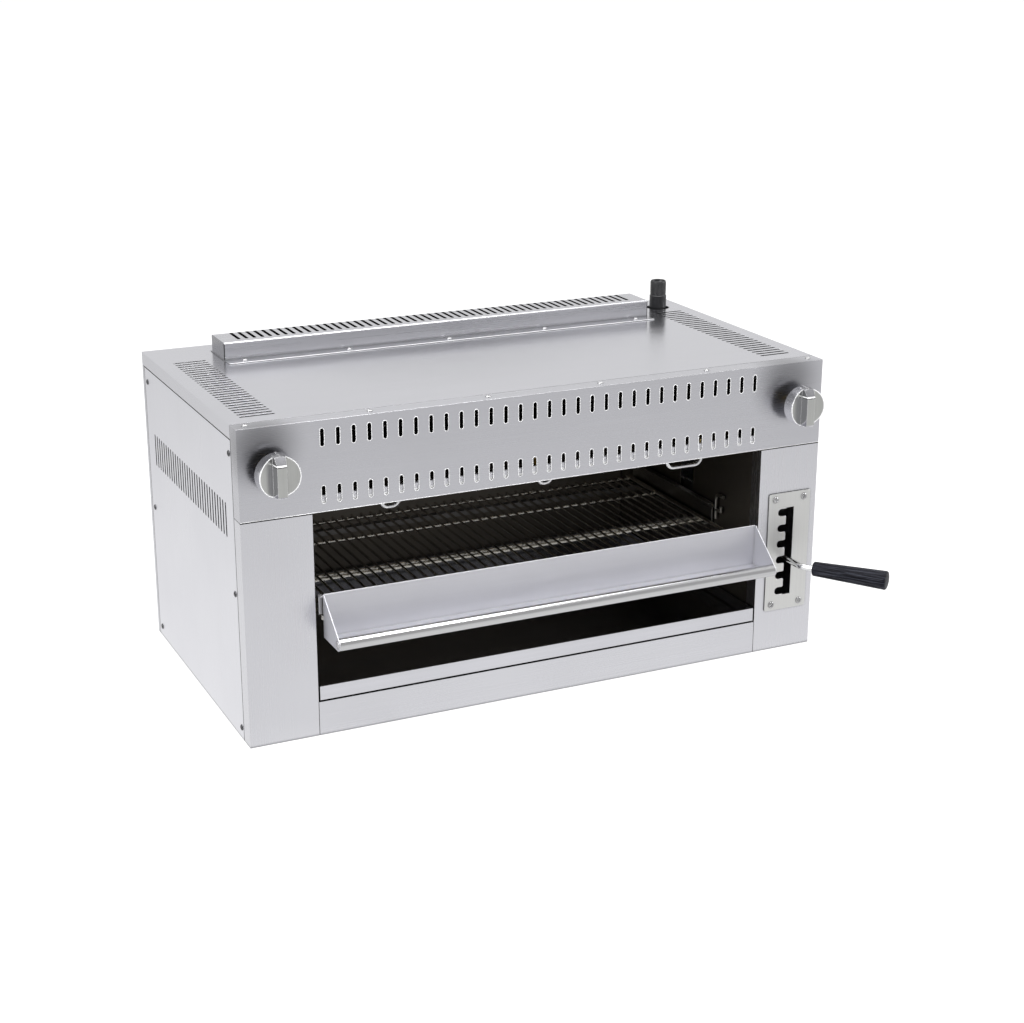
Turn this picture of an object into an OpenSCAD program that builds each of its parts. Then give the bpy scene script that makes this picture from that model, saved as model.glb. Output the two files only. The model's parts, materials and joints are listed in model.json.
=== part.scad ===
// Gas cheese melter: a counter-top salamander with two overhead infrared
// burners, a wire rack on a spring-balanced parallelogram lift, a notch plate
// for the lift lever, a slide-out rack and a drip tray.
// Origin: centre of the underside. +X right, +Y back, +Z up. Millimetres.

/* [Cabinet] */
// Width of the cabinet over the side panels
body_w = 914; // [900:1:940]
// Depth of the cabinet from fascia to back panel
body_d = 478; // [474:1:500]
// Height of the cabinet without the flue riser
body_h = 457; // [455:1:475]
// Thickness of the outer sheet steel
sheet = 1.2; // [0.8:0.1:1.5]
// Thickness of the cavity liners and inner decks
liner_t = 1; // [0.8:0.1:1.2]
// Width of each front pillar
pillar_w = 101.3; // [99:0.1:104]
// Depth that the front panels wrap round the sides
return_d = 27; // [22:1:30]
// Depth of the rear panel's side flanges
rear_return_d = 11; // [8:1:14]
// Height of the control fascia
fascia_h = 129; // [127:1:132]
// Height of the lower front panel
lower_h = 50.2; // [48:0.1:51]
// Height of the top cover's side and rear flanges
cover_flange_h = 20; // [16:1:24]
// Visible joint between two outer panels
joint_gap = 0.9; // [0.3:0.1:1]
// Leg length of the corner posts
post_leg = 45; // [42:1:48]

/* [Fascia slots] */
// Slots in each row
fascia_slots = 31; // [25:1:31]
// Spacing of the fascia slots
fascia_pitch = 22.57; // [18:0.01:22.8]
// Width of a fascia slot
fascia_slot_w = 5.5; // [3:0.5:6]
// Length of a fascia slot
fascia_slot_l = 25; // [18:1:28]
// Drop from the cabinet top to the middle of the upper row
slot_row_top = 24.3; // [20:0.1:26]
// Distance between the two rows
slot_row_gap = 80; // [76:0.5:82]

/* [Louvres] */
// Spacing of the louvre slots
louvre_pitch = 12.5; // [10:0.5:12.5]
// Width of a louvre slot
louvre_w = 4.8; // [3:0.1:6]
// Length of a louvre slot
louvre_l = 50; // [35:1:52]
// Louvre slots in each side panel
side_louvres = 30; // [20:1:30]
// Louvre slots at each end of the top cover
top_louvres = 27; // [20:1:27]
// Height of the middle of the side louvres
side_louvre_z = 314.5; // [250:0.5:330]

/* [Flue riser] */
// Width of the flue riser
riser_w = 720; // [715:1:730]
// Depth of the flue riser
riser_d = 63; // [60:1:70]
// Height of the flue riser above the top cover
riser_h = 27.5; // [20:0.5:40]
// Distance from the riser to the back of the cabinet
riser_inset = 48; // [46:1:50]
// Slots in the riser's top
riser_slots = 54; // [40:1:54]
// Width of a riser slot
riser_slot_w = 4.5; // [3:0.5:6]
// Length of a riser slot
riser_slot_l = 44; // [36:1:48]
// Width of the riser's screw flange
riser_flange = 24; // [18:1:26]

/* [Notch plate and lever] */
// Width of the notch plate
plate_w = 73.5; // [70:0.5:76]
// Height of the notch plate
plate_h = 190; // [186:1:200]
// Thickness of the notch plate
plate_t = 2; // [1.5:0.1:2.5]
// Number of notches
notch_count = 6; // [4:1:6]
// Notch that holds the lever at rest, counted from the top
notch_rest = 4; // [3:1:4]
// Spacing of the notches
notch_pitch = 25.5; // [22:0.5:26]
// Height of a notch
notch_h = 11.8; // [11:0.1:12.5]
// Depth of a notch beside the lever channel
notch_depth = 14.7; // [12:0.1:16]
// Width of the lever channel
channel_w = 13.5; // [11:0.1:15]
// Diameter of the lever rod
lever_rod_d = 9.5; // [8:0.1:10]
// Height of the lift shaft and of the lever at rest
lift_z = 147; // [145:1:150]
// Reach of the lever in front of the cabinet to its bend
lever_reach = 41.8; // [38:0.1:50]
// Angle of the lever's bend
lever_bend = 38; // [25:1:45]
// Length of the lever grip
grip_l = 114.8; // [90:0.1:130]
// Diameter of the grip at the rod
grip_d0 = 22; // [20:0.5:24]
// Diameter of the grip at its free end
grip_d1 = 29; // [25:0.5:32]

/* [Lift] */
// Diameter of the lift shaft
shaft_d = 16; // [14:1:16]
// Distance from the lift shaft to the back of the cabinet
shaft_inset = 21; // [19:0.5:22]
// Length of the lift arms between their pivots
arm_l = 239; // [230:1:245]
// Thickness of the lift arms and links
arm_t = 6; // [4:0.5:6]
// Height of the lift arms and links
arm_h = 18; // [16:1:22]
// Height of the links above the arms
link_rise = 55; // [50:1:60]
// Diameter of the pivot pins
pivot_d = 10; // [8:0.5:10]
// Running clearance of pivots and bearings, on the radius
run_gap = 0.05; // [0.03:0.01:0.1]
// Clearance of sliding parts
slide_gap = 0.3; // [0.2:0.05:0.4]

/* [Rack] */
// Height of the rack wires
rack_z = 181.3; // [180:0.1:183]
// Rack wires
wire_count = 43; // [31:2:43]
// Diameter of a rack wire
wire_d = 4; // [3:0.5:5]
// Diameter of the rack's cross rods
rod_d = 6; // [5:0.5:6]
// Depth of the rack behind its trough
rack_d = 397; // [380:1:400]
// Height of the rails that the rack slides in
rail_h = 34; // [30:1:36]
// Width of the rails' lower flange
rail_w = 15; // [14:0.5:16]
// Height of the trough
trough_h = 63; // [56:1:68]
// Depth of the trough from its back plate to the handle
trough_d = 53.5; // [48:0.5:60]
// Diameter of the handle tube
handle_d = 18; // [14:1:20]
// Wall of the handle tube
handle_wall = 1.5; // [1:0.1:2]

/* [Drip tray] */
// Height of the drip tray
tray_h = 20.5; // [16:0.5:22]
// Gap over the lower front panel
tray_gap = 2.8; // [2.4:0.1:3.2]
// Gap at each side of the drip tray
tray_side_gap = 2.7; // [2:0.1:4]

/* [Gas train] */
// Diameter of the gas inlet nipple
inlet_d = 28; // [27:0.1:29]
// Diameter of its threaded end
inlet_thread_d = 26.6; // [25:0.1:27]
// Length of its threaded end
inlet_thread_l = 24; // [18:1:26]
// Height of the inlet above the top cover
inlet_rise = 46; // [40:1:60]
// Clearance hole round the inlet
inlet_hole_d = 38; // [34:1:40]
// Drop from the cabinet top to the knobs
knob_drop = 61; // [57:1:63]
// Distance from a knob's axis to the side of the cabinet
knob_inset = 47; // [45:1:50]
// Diameter of a knob
knob_d = 60; // [50:1:64]
// Depth of a knob with its finger bar
knob_h = 21; // [18:0.5:26]
// Gap between a knob and the fascia
knob_gap = 17; // [15:0.5:20]
// Width of the finger bar
knob_bar_w = 17; // [12:0.5:20]
// Diameter of the valve stem
stem_d = 10; // [8:0.5:10]

/* [Burners] */
// Length of a burner across the cabinet
burner_l = 304; // [290:1:310]
// Depth of a burner from front to back
burner_w = 284; // [270:1:286]
// Height of a burner box
burner_h = 42; // [38:1:42]
// Space between the two burners
burner_space = 48; // [44:1:60]
// Height of the burner deck above the fascia's lower edge
deck_rise = 11; // [10:1:12]

/* [Feet and wall bolts] */
// Spacing of the leg sockets across the cabinet
leg_x = 820; // [780:5:830]
// Spacing of the leg sockets from front to back
leg_y = 380; // [340:5:390]
// Radius of the leg sockets' threaded holes
leg_r = 4.3; // [4:0.1:5]
// Spacing of the wall bolt holes across the back
wall_x = 560; // [400:10:600]
// Spacing of the wall bolt holes up the back
wall_z = 260; // [200:10:280]
// Radius of the wall bolt holes
wall_r = 4.5; // [3.5:0.1:5.5]

/* [Hidden] */

$fn = 48;
eps = 0.01;

// Outer planes
x_side = body_w / 2;
y_front = -body_d / 2;
y_back = body_d / 2;
z_fascia = body_h - fascia_h;
x_open = x_side - pillar_w;
pan_t = 1.5;
y_return = y_front + return_d;
z_flange = body_h - cover_flange_h;
knob_z = body_h - knob_drop;
deck_z = z_fascia + deck_rise;

// Colours
steel = [0.76, 0.77, 0.79];
satin = [0.70, 0.69, 0.66];
polished = [0.85, 0.86, 0.88];
dark_steel = [0.24, 0.24, 0.25];
black = [0.08, 0.08, 0.09];
brass = [0.79, 0.65, 0.32];
alloy = [0.80, 0.81, 0.83];
ceramic = [0.88, 0.83, 0.74];

// Corner posts
post_t = 2;
post_top = body_h - 3;

// Screws that hold panels
screw_r = 2;
screw_fit = 0.1;
screw_head_r = 4.2;
screw_head_h = 2;
screw_l = sheet + post_t;
side_screw_inset = [37, 26];
side_screw_z = [16.5, 0.4714 * body_h, body_h - 41.5];
top_screws_n = 6;
top_screw_pitch = 176;
top_screw_y = y_front + 15;
lip_drop = sheet;

// Cavity
liner_x = x_open + sheet;
liner_out = liner_x + liner_t;
rear_liner_y = y_back - 40;
liner_top = body_h - 27;
deck_front = y_front + 34;
burner_set = 17;
deck_tail = 22;
deck_rear = deck_front + burner_set + burner_w + deck_tail;
shield_rear = rear_liner_y - 72;
tray_z = lower_h + tray_gap;
tray_half = x_open - tray_side_gap;
tray_wall = 1;
tray_rear = rear_liner_y - 9;
runner_t = 1.5;
runner_w = 15;
runner_drop = 22;

// Flue
riser_y1 = y_back - riser_inset;
riser_y0 = riser_y1 - riser_d;
riser_mouth_x = riser_w / 2 - 10;
riser_mouth_in = 5;
riser_screw_n = 5;
riser_screw_pitch = 166;
riser_bend = 3;
baffle_drop = 14;
top_louvre_y0 = 58;

// Notch plate
plate_x = x_side - 47.75;
plate_z = lift_z + 13;
plate_corner = 3;
plate_screw_x = 25.25;
plate_screw_z = 85.25;
plate_screw_r = 5;
channel_x0 = plate_x - 5.25;
notch_top = lift_z + (notch_rest - 1) * notch_pitch;
notch_low = notch_top - (notch_count - 1) * notch_pitch;
channel_end = 1.3;
tooth_r = 2;
window_margin = 4;

// Lift geometry; the lever sweeps from its lowest to its highest notch
shaft_y = y_back - shaft_inset;
lever_l = shaft_y - y_front + plate_t / 2;
lift_up = atan((notch_rest - 1) * notch_pitch / lever_l);
lift_down = atan((notch_count - notch_rest) * notch_pitch / lever_l);
arm_y = shaft_y - arm_l;
plate_gap = 4.1;
carriage_t = 3;
carriage_x = liner_out + plate_gap;
arm_gap = 2;
arm_x = carriage_x + carriage_t + arm_gap;
bracket_gap = 5;
bracket_t = 3;
bracket_x = arm_x + arm_t + bracket_gap;
bush_wall = 2;
bush_l = 12;
pin_head_r = 8;
pin_head_t = 2;
hub_r = 13;
link_z = lift_z + link_rise;
open_pivot_gap = 0.3;

// Carriage inside the cavity: C-shaped rails, open towards the middle
rail_t = 1.5;
rail_x1 = x_open - 1.7;
rail_x0 = rail_x1 - rail_w;
rail_top_w = 9;
rail_z0 = rack_z - 9.3;
rail_z1 = rail_z0 + rail_h;
rail_front = y_front + 130;
rail_rear = rear_liner_y - 49;
bridge_z0 = rail_z0 + 4;
bridge_z1 = bridge_z0 + 24;
bridge_half = 10;
slot_half = 20;
slot_z0 = bridge_z0 - arm_l * sin(lift_down) - 18;
slot_z1 = bridge_z1 + arm_l * sin(lift_up) + 16;
cross_w = 12;
cross_h = 8;
cross_ys = [arm_y - 39, rail_rear - 30];
hook_d = 5;
hook_x = rail_x1 - 2;
hook_y = y_front + 118;
hook_z0 = rack_z + 2.7;
hook_z1 = rack_z + 46;
hook_bend = 9;
prong_z = rack_z + 17.7;
prong_l = 15;

// Rack
trough_half = x_open - 9;
trough_t = 1.2;
trough_y = y_front - 6.5;
trough_z0 = rack_z - 32.8;
handle_y = trough_y - trough_d;
handle_z = trough_z0 + handle_d / 2;
rod_r = rod_d / 2;
weld_sink = 0.5;
rod_z = rack_z - wire_d / 2 - rod_r + weld_sink;
grid_half = rail_x1 - rail_t - 6;
wire_pitch = 16;
grid_front = trough_y + trough_t;
grid_rear = rail_rear;
rod_ys = [y_front + 139, y_front + 151, y_front + 290, grid_rear - 10];
bracket_in = 5;

// Gas train
valve_x = x_side - knob_inset;
valve_w = 26;
valve_y0 = y_front + 13;
valve_y1 = y_front + 36;
valve_bore_end = y_front + 27;
manifold_y = y_front + 67;
manifold_r = 10.65;
fitting_r = 14;
fitting_l = 15.5;
supply_r = inlet_d / 2;
collar_set = 5;
collar_r = supply_r + 1.5;
inlet_x = x_side - 45;
inlet_y = y_back - 54;
elbow_l = 18.5;
elbow_r = 17;
mixer_y = y_front + 119;
mixer_z = knob_z - 34;
mixer_r = 16;
throat_r = 12;
bell_r = 19;
mixer_l = 65.9;
bell_x = burner_space / 2 + burner_l + mixer_l;
feed_r = 4;
feed_z = mixer_z - 20;
feed_bend = 12;
orifice_x = bell_x + 4;
knob_y = y_front - knob_gap;
stem_grip = 11;

// Burners
burner_x0 = burner_space / 2;
burner_x1 = burner_x0 + burner_l;
burner_y0 = deck_front + burner_set;
burner_y1 = burner_y0 + burner_w;
burner_wall = 2;
burner_z0 = deck_z + liner_t;
burner_flange = 10;
tile_inset = 4;
tile_ledge = 8;
tile_t = 12;
screen_wire_d = 3;
screen_wires = 11;
screen_drop = 8;

// Pilots
pilot_y = y_front + 28;
pilot_r = 3;
pilot_run_z = deck_z - 5;
pilot_valve_x = -4;
pilot_valve_half = 8;
pilot_valve_y1 = y_front + 46;
pilot_head_z = pilot_run_z;
pilot_head_h = 16;
loop_left = [-246, -219];
loop_mid = [-4, 17];
loop_right = [208, 267];
dip_left = 21;
dip_mid = 19;
dip_right = 24;

// Counterbalance spring
spring_y = shaft_y - 158;
spring_x = arm_x + arm_t + 17;
spring_r = 7;
spring_wire = 1.1;
spring_turns = 16;
spring_top = lift_z + 153;
spring_hook = 10;
stud_r = 4;
anchor_t = 3;

// ---------- shared shapes ----------

module box(lo, hi) {
    translate(lo) cube(hi - lo);
}

module rect(a0, b0, a1, b1) {
    translate([a0, b0]) square([a1 - a0, b1 - b0]);
}

module front_sheet(y, t) {
    translate([0, y + t, 0]) rotate([90, 0, 0]) linear_extrude(t) children();
}

module side_sheet(x, t) {
    translate([x, 0, 0]) rotate([90, 0, 90]) linear_extrude(t) children();
}

module flat_sheet(z, t) {
    translate([0, 0, z]) linear_extrude(t) children();
}

module at_side(s) {
    if (s > 0) children();
    else mirror([1, 0, 0]) children();
}

module both_sides() {
    children();
    mirror([1, 0, 0]) children();
}

module stadium(l, w) {
    square([l - w, w], center = true);
    for (e = [-1, 1]) translate([e * (l - w) / 2, 0]) circle(d = w);
}

module slot_row(n, pitch, l, w) {
    for (i = [0 : n - 1]) translate([(i - (n - 1) / 2) * pitch, 0]) rotate(90) stadium(l, w);
}

module round_rect(w, h, r) {
    square([w - 2 * r, h], center = true);
    square([w, h - 2 * r], center = true);
    for (i = [-1, 1], j = [-1, 1]) translate([i * (w / 2 - r), j * (h / 2 - r)]) circle(r);
}

module x_rod(x0, x1, y, z, r) {
    translate([x0, y, z]) rotate([0, 90, 0]) cylinder(r = r, h = x1 - x0);
}

module y_rod(y0, y1, x, z, r) {
    translate([x, y1, z]) rotate([90, 0, 0]) cylinder(r = r, h = y1 - y0);
}

module z_rod(z0, z1, x, y, r) {
    translate([x, y, z0]) cylinder(r = r, h = z1 - z0);
}

module screw(head_r, head_h, shank_r, shank_l) {
    dome_r = (head_r * head_r + head_h * head_h) / (2 * head_h);
    intersection() {
        translate([0, 0, head_h - dome_r]) sphere(dome_r);
        cylinder(r = head_r, h = head_h);
    }
    translate([0, 0, -shank_l]) cylinder(r = shank_r, h = shank_l + eps);
}

// Quarter bend in the XZ plane about (x, z), from start_angle on
module quarter_bend(x, y, z, bend_r, r, start_angle) {
    translate([x, y, z]) rotate([90, 0, 0]) rotate([0, 0, start_angle])
        rotate_extrude(angle = 90) translate([bend_r, 0]) circle(r);
}

// ---------- cabinet ----------

module base_pan() {
    color(steel) flat_sheet(0, pan_t) difference() {
        square([2 * (x_side - sheet), 2 * (y_back - sheet)], center = true);
        for (i = [-1, 1], j = [-1, 1]) translate([i * leg_x / 2, j * leg_y / 2]) circle(leg_r + 1);
    }
}

module leg_nuts() {
    nut_r = 12;
    nut_h = 12;
    color(steel) for (i = [-1, 1], j = [-1, 1]) translate([i * leg_x / 2, j * leg_y / 2, pan_t]) difference() {
        cylinder(r = nut_r, h = nut_h);
        translate([0, 0, -eps]) cylinder(r = leg_r, h = nut_h + 2 * eps);
    }
}

module side_screw_points() {
    for (z = side_screw_z) {
        translate([y_front + side_screw_inset[0], z]) children();
        translate([y_back - side_screw_inset[1], z]) children();
    }
}

module corner_posts() {
    outer = x_side - sheet;
    inner_y = y_back - sheet;
    color(steel) both_sides() {
        for (f = [-1, 1]) difference() {
            union() {
                box([outer - post_t, min(f * inner_y, f * (inner_y - post_leg)), pan_t],
                    [outer, max(f * inner_y, f * (inner_y - post_leg)), post_top]);
                box([outer - 25, min(f * inner_y, f * (inner_y - post_t)), pan_t],
                    [outer, max(f * inner_y, f * (inner_y - post_t)), post_top]);
            }
            side_sheet(outer - post_t - eps, post_t + 2 * eps) side_screw_points() circle(screw_r + screw_fit);
        }
    }
}

module side_panel() {
    y0 = y_return + joint_gap;
    y1 = y_back - rear_return_d - joint_gap;
    side_sheet(x_side - sheet, sheet) difference() {
        rect(y0, 0, y1, z_flange - joint_gap);
        translate([(y0 + y1) / 2 - 1.7, side_louvre_z]) slot_row(side_louvres, louvre_pitch, louvre_l, louvre_w);
        side_screw_points() circle(screw_r + screw_fit);
    }
}

module side_panel_left() {
    color(steel) at_side(-1) side_panel();
}

module side_panel_right() {
    color(steel) at_side(1) side_panel();
}

module back_panel() {
    top = z_flange - joint_gap;
    color(steel) {
        front_sheet(y_back - sheet, sheet) difference() {
            rect(-x_side, 0, x_side, top);
            for (i = [-1, 1], j = [-1, 1]) translate([i * wall_x / 2, body_h / 2 + j * wall_z / 2]) circle(wall_r);
        }
        both_sides() box([x_side - sheet, y_back - rear_return_d, 0], [x_side, y_back, top]);
    }
}

module top_screw_points() {
    for (i = [0 : top_screws_n - 1]) translate([(i - (top_screws_n - 1) / 2) * top_screw_pitch, top_screw_y]) children();
}

module riser_screw_points() {
    for (i = [0 : riser_screw_n - 1])
        translate([(i - (riser_screw_n - 1) / 2) * riser_screw_pitch, riser_y0 - riser_flange / 2]) children();
}

module top_cover() {
    y0 = y_return + joint_gap;
    skin = body_h - sheet;
    louvre_x = x_side - 48;
    louvre_y = y_front + top_louvre_y0 + (top_louvres - 1) * louvre_pitch / 2;
    color(steel) {
        flat_sheet(skin, sheet) difference() {
            rect(-x_side, y0, x_side, y_back);
            rect(-riser_mouth_x, riser_y0 + riser_mouth_in, riser_mouth_x, riser_y1 - riser_mouth_in);
            for (s = [-1, 1]) translate([s * louvre_x, louvre_y]) rotate(90)
                slot_row(top_louvres, louvre_pitch, louvre_l, louvre_w);
            translate([inlet_x, inlet_y]) circle(d = inlet_hole_d);
            riser_screw_points() circle(screw_r + screw_fit);
        }
        both_sides() box([x_side - sheet, y0, z_flange], [x_side, y_back, body_h]);
        box([-x_side, y_back - sheet, z_flange], [x_side, y_back, body_h]);
        flat_sheet(skin - lip_drop, lip_drop) difference() {
            rect(-x_side + 5, y_front + 3, x_side - 5, y0 + 2);
            top_screw_points() circle(screw_r + screw_fit);
        }
    }
}

module control_fascia() {
    row_top = body_h - slot_row_top;
    lip_in = 7;
    lip_h = 21.4;
    lip_half = x_open - joint_gap / 2;
    color(steel) {
        front_sheet(y_front, sheet) difference() {
            rect(-x_side, z_fascia, x_side, body_h);
            for (k = [0, 1]) translate([0, row_top - k * slot_row_gap])
                slot_row(fascia_slots, fascia_pitch, fascia_slot_l, fascia_slot_w);
            for (s = [-1, 1]) translate([s * valve_x, knob_z]) circle(stem_d / 2 + 3);
        }
        both_sides() box([x_side - sheet, y_front, z_fascia], [x_side, y_return, body_h]);
        flat_sheet(body_h - sheet, sheet) difference() {
            rect(-x_side, y_front, x_side, y_return);
            top_screw_points() circle(screw_r + screw_fit);
        }
        box([-lip_half, y_front, z_fascia], [lip_half, y_front + lip_in, z_fascia + sheet]);
        box([-lip_half, y_front + lip_in, z_fascia], [lip_half, y_front + lip_in + sheet, z_fascia + lip_h]);
    }
}

module pillar(window) {
    top = z_fascia - joint_gap;
    front_sheet(y_front, sheet) difference() {
        rect(x_open, 0, x_side, top);
        if (window) lever_window();
        if (window) plate_screw_points() circle(screw_r + screw_fit);
    }
    box([x_side - sheet, y_front, 0], [x_side, y_return, top]);
    box([x_open, y_front, pan_t], [x_open + sheet, y_front + 25, top]);
}

module pillar_left() {
    color(steel) at_side(-1) pillar(false);
}

module pillar_right() {
    color(steel) at_side(1) pillar(true);
}

module lower_front_panel() {
    half = x_open - joint_gap / 2;
    flange = 23;
    lip = 15;
    color(steel) {
        box([-half, y_front, 0], [half, y_front + sheet, lower_h]);
        box([-half, y_front, lower_h - sheet], [half, y_front + flange, lower_h]);
        box([-half, y_front + flange, lower_h - lip], [half, y_front + flange + sheet, lower_h]);
    }
}

module side_screws() {
    color(polished) both_sides() {
        for (z = side_screw_z, y = [y_front + side_screw_inset[0], y_back - side_screw_inset[1]])
            translate([x_side, y, z]) rotate([0, 90, 0]) screw(screw_head_r, screw_head_h, screw_r, screw_l);
    }
}

module top_screws() {
    color(polished) {
        translate([0, 0, body_h]) top_screw_points() screw(screw_head_r, screw_head_h, screw_r, sheet + lip_drop);
        translate([0, 0, body_h + sheet]) riser_screw_points() screw(screw_head_r, screw_head_h, screw_r, 2 * sheet);
    }
}

// ---------- flue ----------

module flue_riser() {
    top = body_h + riser_h;
    half = riser_w / 2;
    bend = riser_bend;
    color(steel) {
        side_sheet(-half, riser_w) difference() {
            union() {
                rect(riser_y0, body_h, riser_y1, top - bend);
                rect(riser_y0 + bend, body_h, riser_y1 - bend, top);
                for (y = [riser_y0 + bend, riser_y1 - bend]) translate([y, top - bend]) circle(bend);
            }
            rect(riser_y0 + sheet, body_h - eps, riser_y1 - sheet, top - bend);
            rect(riser_y0 + bend, body_h - eps, riser_y1 - bend, top + eps);
        }
        flat_sheet(top - sheet, sheet) difference() {
            rect(-half, riser_y0 + bend - eps, half, riser_y1 - bend + eps);
            translate([0, (riser_y0 + riser_y1) / 2 + 6]) slot_row(riser_slots, louvre_pitch, riser_slot_l, riser_slot_w);
        }
        both_sides() box([half - sheet, riser_y0 + sheet / 2, body_h], [half, riser_y1 - sheet / 2, top - sheet / 2]);
        flat_sheet(body_h, sheet) difference() {
            rect(-half, riser_y0 - riser_flange, half, riser_y0 + sheet / 2);
            riser_screw_points() circle(screw_r + screw_fit);
        }
        box([-half, riser_y1 - sheet / 2, body_h], [half, riser_y1 + 9, body_h + sheet]);
    }
}

module flue_baffle() {
    under = body_h - sheet;
    z0 = under - baffle_drop;
    half = riser_mouth_x + 3;
    y0 = riser_y0 + 17;
    y1 = riser_y1 - 16;
    color(dark_steel) {
        box([-half, y0, z0], [half, y1, z0 + liner_t]);
        both_sides() box([half - liner_t, y0, z0], [half, y1, under]);
    }
}

// ---------- cavity ----------

module liner() {
    side_sheet(liner_x, liner_t) difference() {
        rect(y_front + sheet, pan_t, rear_liner_y, liner_top);
        rect(arm_y - slot_half, slot_z0, arm_y + slot_half, slot_z1);
        translate([manifold_y, knob_z]) circle(manifold_r + 2);
        translate([mixer_y, mixer_z]) circle(mixer_r + 2);
    }
}

module liner_left() {
    color(dark_steel) at_side(-1) liner();
}

module liner_right() {
    color(dark_steel) at_side(1) liner();
}

module rear_liner() {
    color(dark_steel) box([-liner_out, rear_liner_y, pan_t], [liner_out, rear_liner_y + liner_t, liner_top]);
}

module heat_shield() {
    lip = 15;
    color(dark_steel) {
        box([-liner_out, y_front + 25, liner_top], [liner_out, shield_rear, liner_top + liner_t]);
        box([-liner_x + 1, shield_rear - liner_t, liner_top - lip], [liner_x - 1, shield_rear, liner_top + eps]);
    }
}

module burner_deck() {
    opening = [burner_l - 2 * (burner_wall + tile_ledge), burner_w - 2 * (burner_wall + tile_ledge)];
    tab_x = liner_x - 11;
    tab_w = 10;
    tab_y = deck_front - 8;
    tab_z = deck_z - 17;
    notch = 15;
    color(dark_steel) {
        flat_sheet(deck_z, liner_t) difference() {
            rect(-liner_x, deck_front, liner_x, deck_rear);
            rect(pilot_valve_x - notch, deck_front - 1, pilot_valve_x + notch, pilot_valve_y1 + 3);
            for (s = [-1, 1]) translate([s * (burner_x0 + burner_x1) / 2, (burner_y0 + burner_y1) / 2])
                square(opening, center = true);
        }
        both_sides() {
            box([tab_x - tab_w / 2, tab_y, deck_z], [tab_x + tab_w / 2, deck_front + eps, deck_z + liner_t]);
            box([tab_x - tab_w / 2, tab_y, tab_z], [tab_x + tab_w / 2, tab_y + liner_t, deck_z + liner_t]);
        }
    }
}

module tray_runners() {
    top = tray_z - slide_gap;
    y0 = y_front + 26;
    color(dark_steel) both_sides() {
        box([liner_x - runner_w, y0, top - runner_t], [liner_x, tray_rear, top]);
        box([liner_x - runner_t, y0, top - runner_drop], [liner_x, tray_rear, top]);
    }
}

// ---------- burners ----------

module burner() {
    flange_t = 2;
    color(dark_steel) difference() {
        union() {
            box([burner_x0, burner_y0, burner_z0], [burner_x1, burner_y1, burner_z0 + burner_h]);
            box([burner_x0 - burner_flange, burner_y0 - burner_flange, burner_z0],
                [burner_x1 + burner_flange, burner_y1 + burner_flange, burner_z0 + flange_t]);
        }
        box([burner_x0 + burner_wall, burner_y0 + burner_wall, burner_z0 - eps],
            [burner_x1 - burner_wall, burner_y1 - burner_wall, burner_z0 + burner_h - burner_wall]);
        x_rod(burner_x1 - burner_wall - 1, burner_x1 + 1, mixer_y, mixer_z, throat_r);
    }
}

module burner_left() {
    at_side(-1) burner();
}

module burner_right() {
    at_side(1) burner();
}

module burner_tiles() {
    cols = 3;
    rows = 2;
    joint = 1;
    full = [burner_l - 2 * tile_inset, burner_w - 2 * tile_inset];
    cell = [full[0] / cols, full[1] / rows];
    color(ceramic) both_sides() translate([burner_x0 + tile_inset, burner_y0 + tile_inset, burner_z0])
        for (i = [0 : cols - 1], j = [0 : rows - 1]) translate([i * cell[0] + joint / 2, j * cell[1] + joint / 2, 0])
            cube([cell[0] - joint, cell[1] - joint, tile_t]);
}

module burner_screens() {
    z = deck_z - screen_drop;
    t = screen_wire_d;
    size = [burner_l - 8, burner_w - 12];
    bars = screen_wires;
    color(dark_steel) both_sides() translate([(burner_x0 + burner_x1) / 2, (burner_y0 + burner_y1) / 2, 0]) {
        flat_sheet(z, t) {
            for (i = [0 : bars - 1]) translate([0, (i / (bars - 1) - 0.5) * (size[1] - t)])
                square([size[0], t], center = true);
            for (x = [-0.5, -0.17, 0.17, 0.5]) translate([x * (size[0] - t), 0]) square([t, size[1]], center = true);
        }
        for (i = [-1, 1], j = [-1, 1])
            z_rod(z + t - eps, deck_z, i * (size[0] / 2 - t), j * (size[1] / 2 - t / 2), t / 2);
    }
}

module mixing_tubes() {
    tube_l = mixer_l;
    wall = 1.5;
    color(alloy) both_sides() translate([burner_x1, mixer_y, mixer_z]) rotate([0, 90, 0]) rotate_extrude() polygon([
        [mixer_r - wall, 0], [mixer_r, 0], [mixer_r, tube_l * 0.55], [throat_r + wall, tube_l * 0.78],
        [bell_r, tube_l], [bell_r - wall, tube_l], [throat_r, tube_l * 0.78 - 1], [mixer_r - wall, tube_l * 0.55 - 1]]);
}

// ---------- gas train ----------

module gas_manifold() {
    reach = valve_x - fitting_l;
    boss_r = 7;
    boss_y = pilot_valve_y1 + 3;
    color(black) {
        x_rod(-reach, reach, manifold_y, knob_z, manifold_r);
        y_rod(boss_y, manifold_y, 0, knob_z, boss_r);
    }
}

module pipe_elbows() {
    color(black) {
        both_sides() {
            translate([valve_x, manifold_y, knob_z]) sphere(fitting_r + 0.8);
            x_rod(valve_x - fitting_l, valve_x, manifold_y, knob_z, fitting_r);
            y_rod(valve_y1, manifold_y, valve_x, knob_z, 8);
        }
        y_rod(manifold_y + collar_set, manifold_y + fitting_l, inlet_x, knob_z, collar_r);
        translate([inlet_x, inlet_y, knob_z]) sphere(elbow_r + 0.8);
        y_rod(inlet_y - elbow_l, inlet_y, inlet_x, knob_z, elbow_r);
        z_rod(knob_z, knob_z + elbow_l, inlet_x, inlet_y, elbow_r);
    }
}

module supply_pipe() {
    color(black) y_rod(manifold_y + fitting_l, inlet_y - elbow_l, inlet_x, knob_z, supply_r);
}

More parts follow.
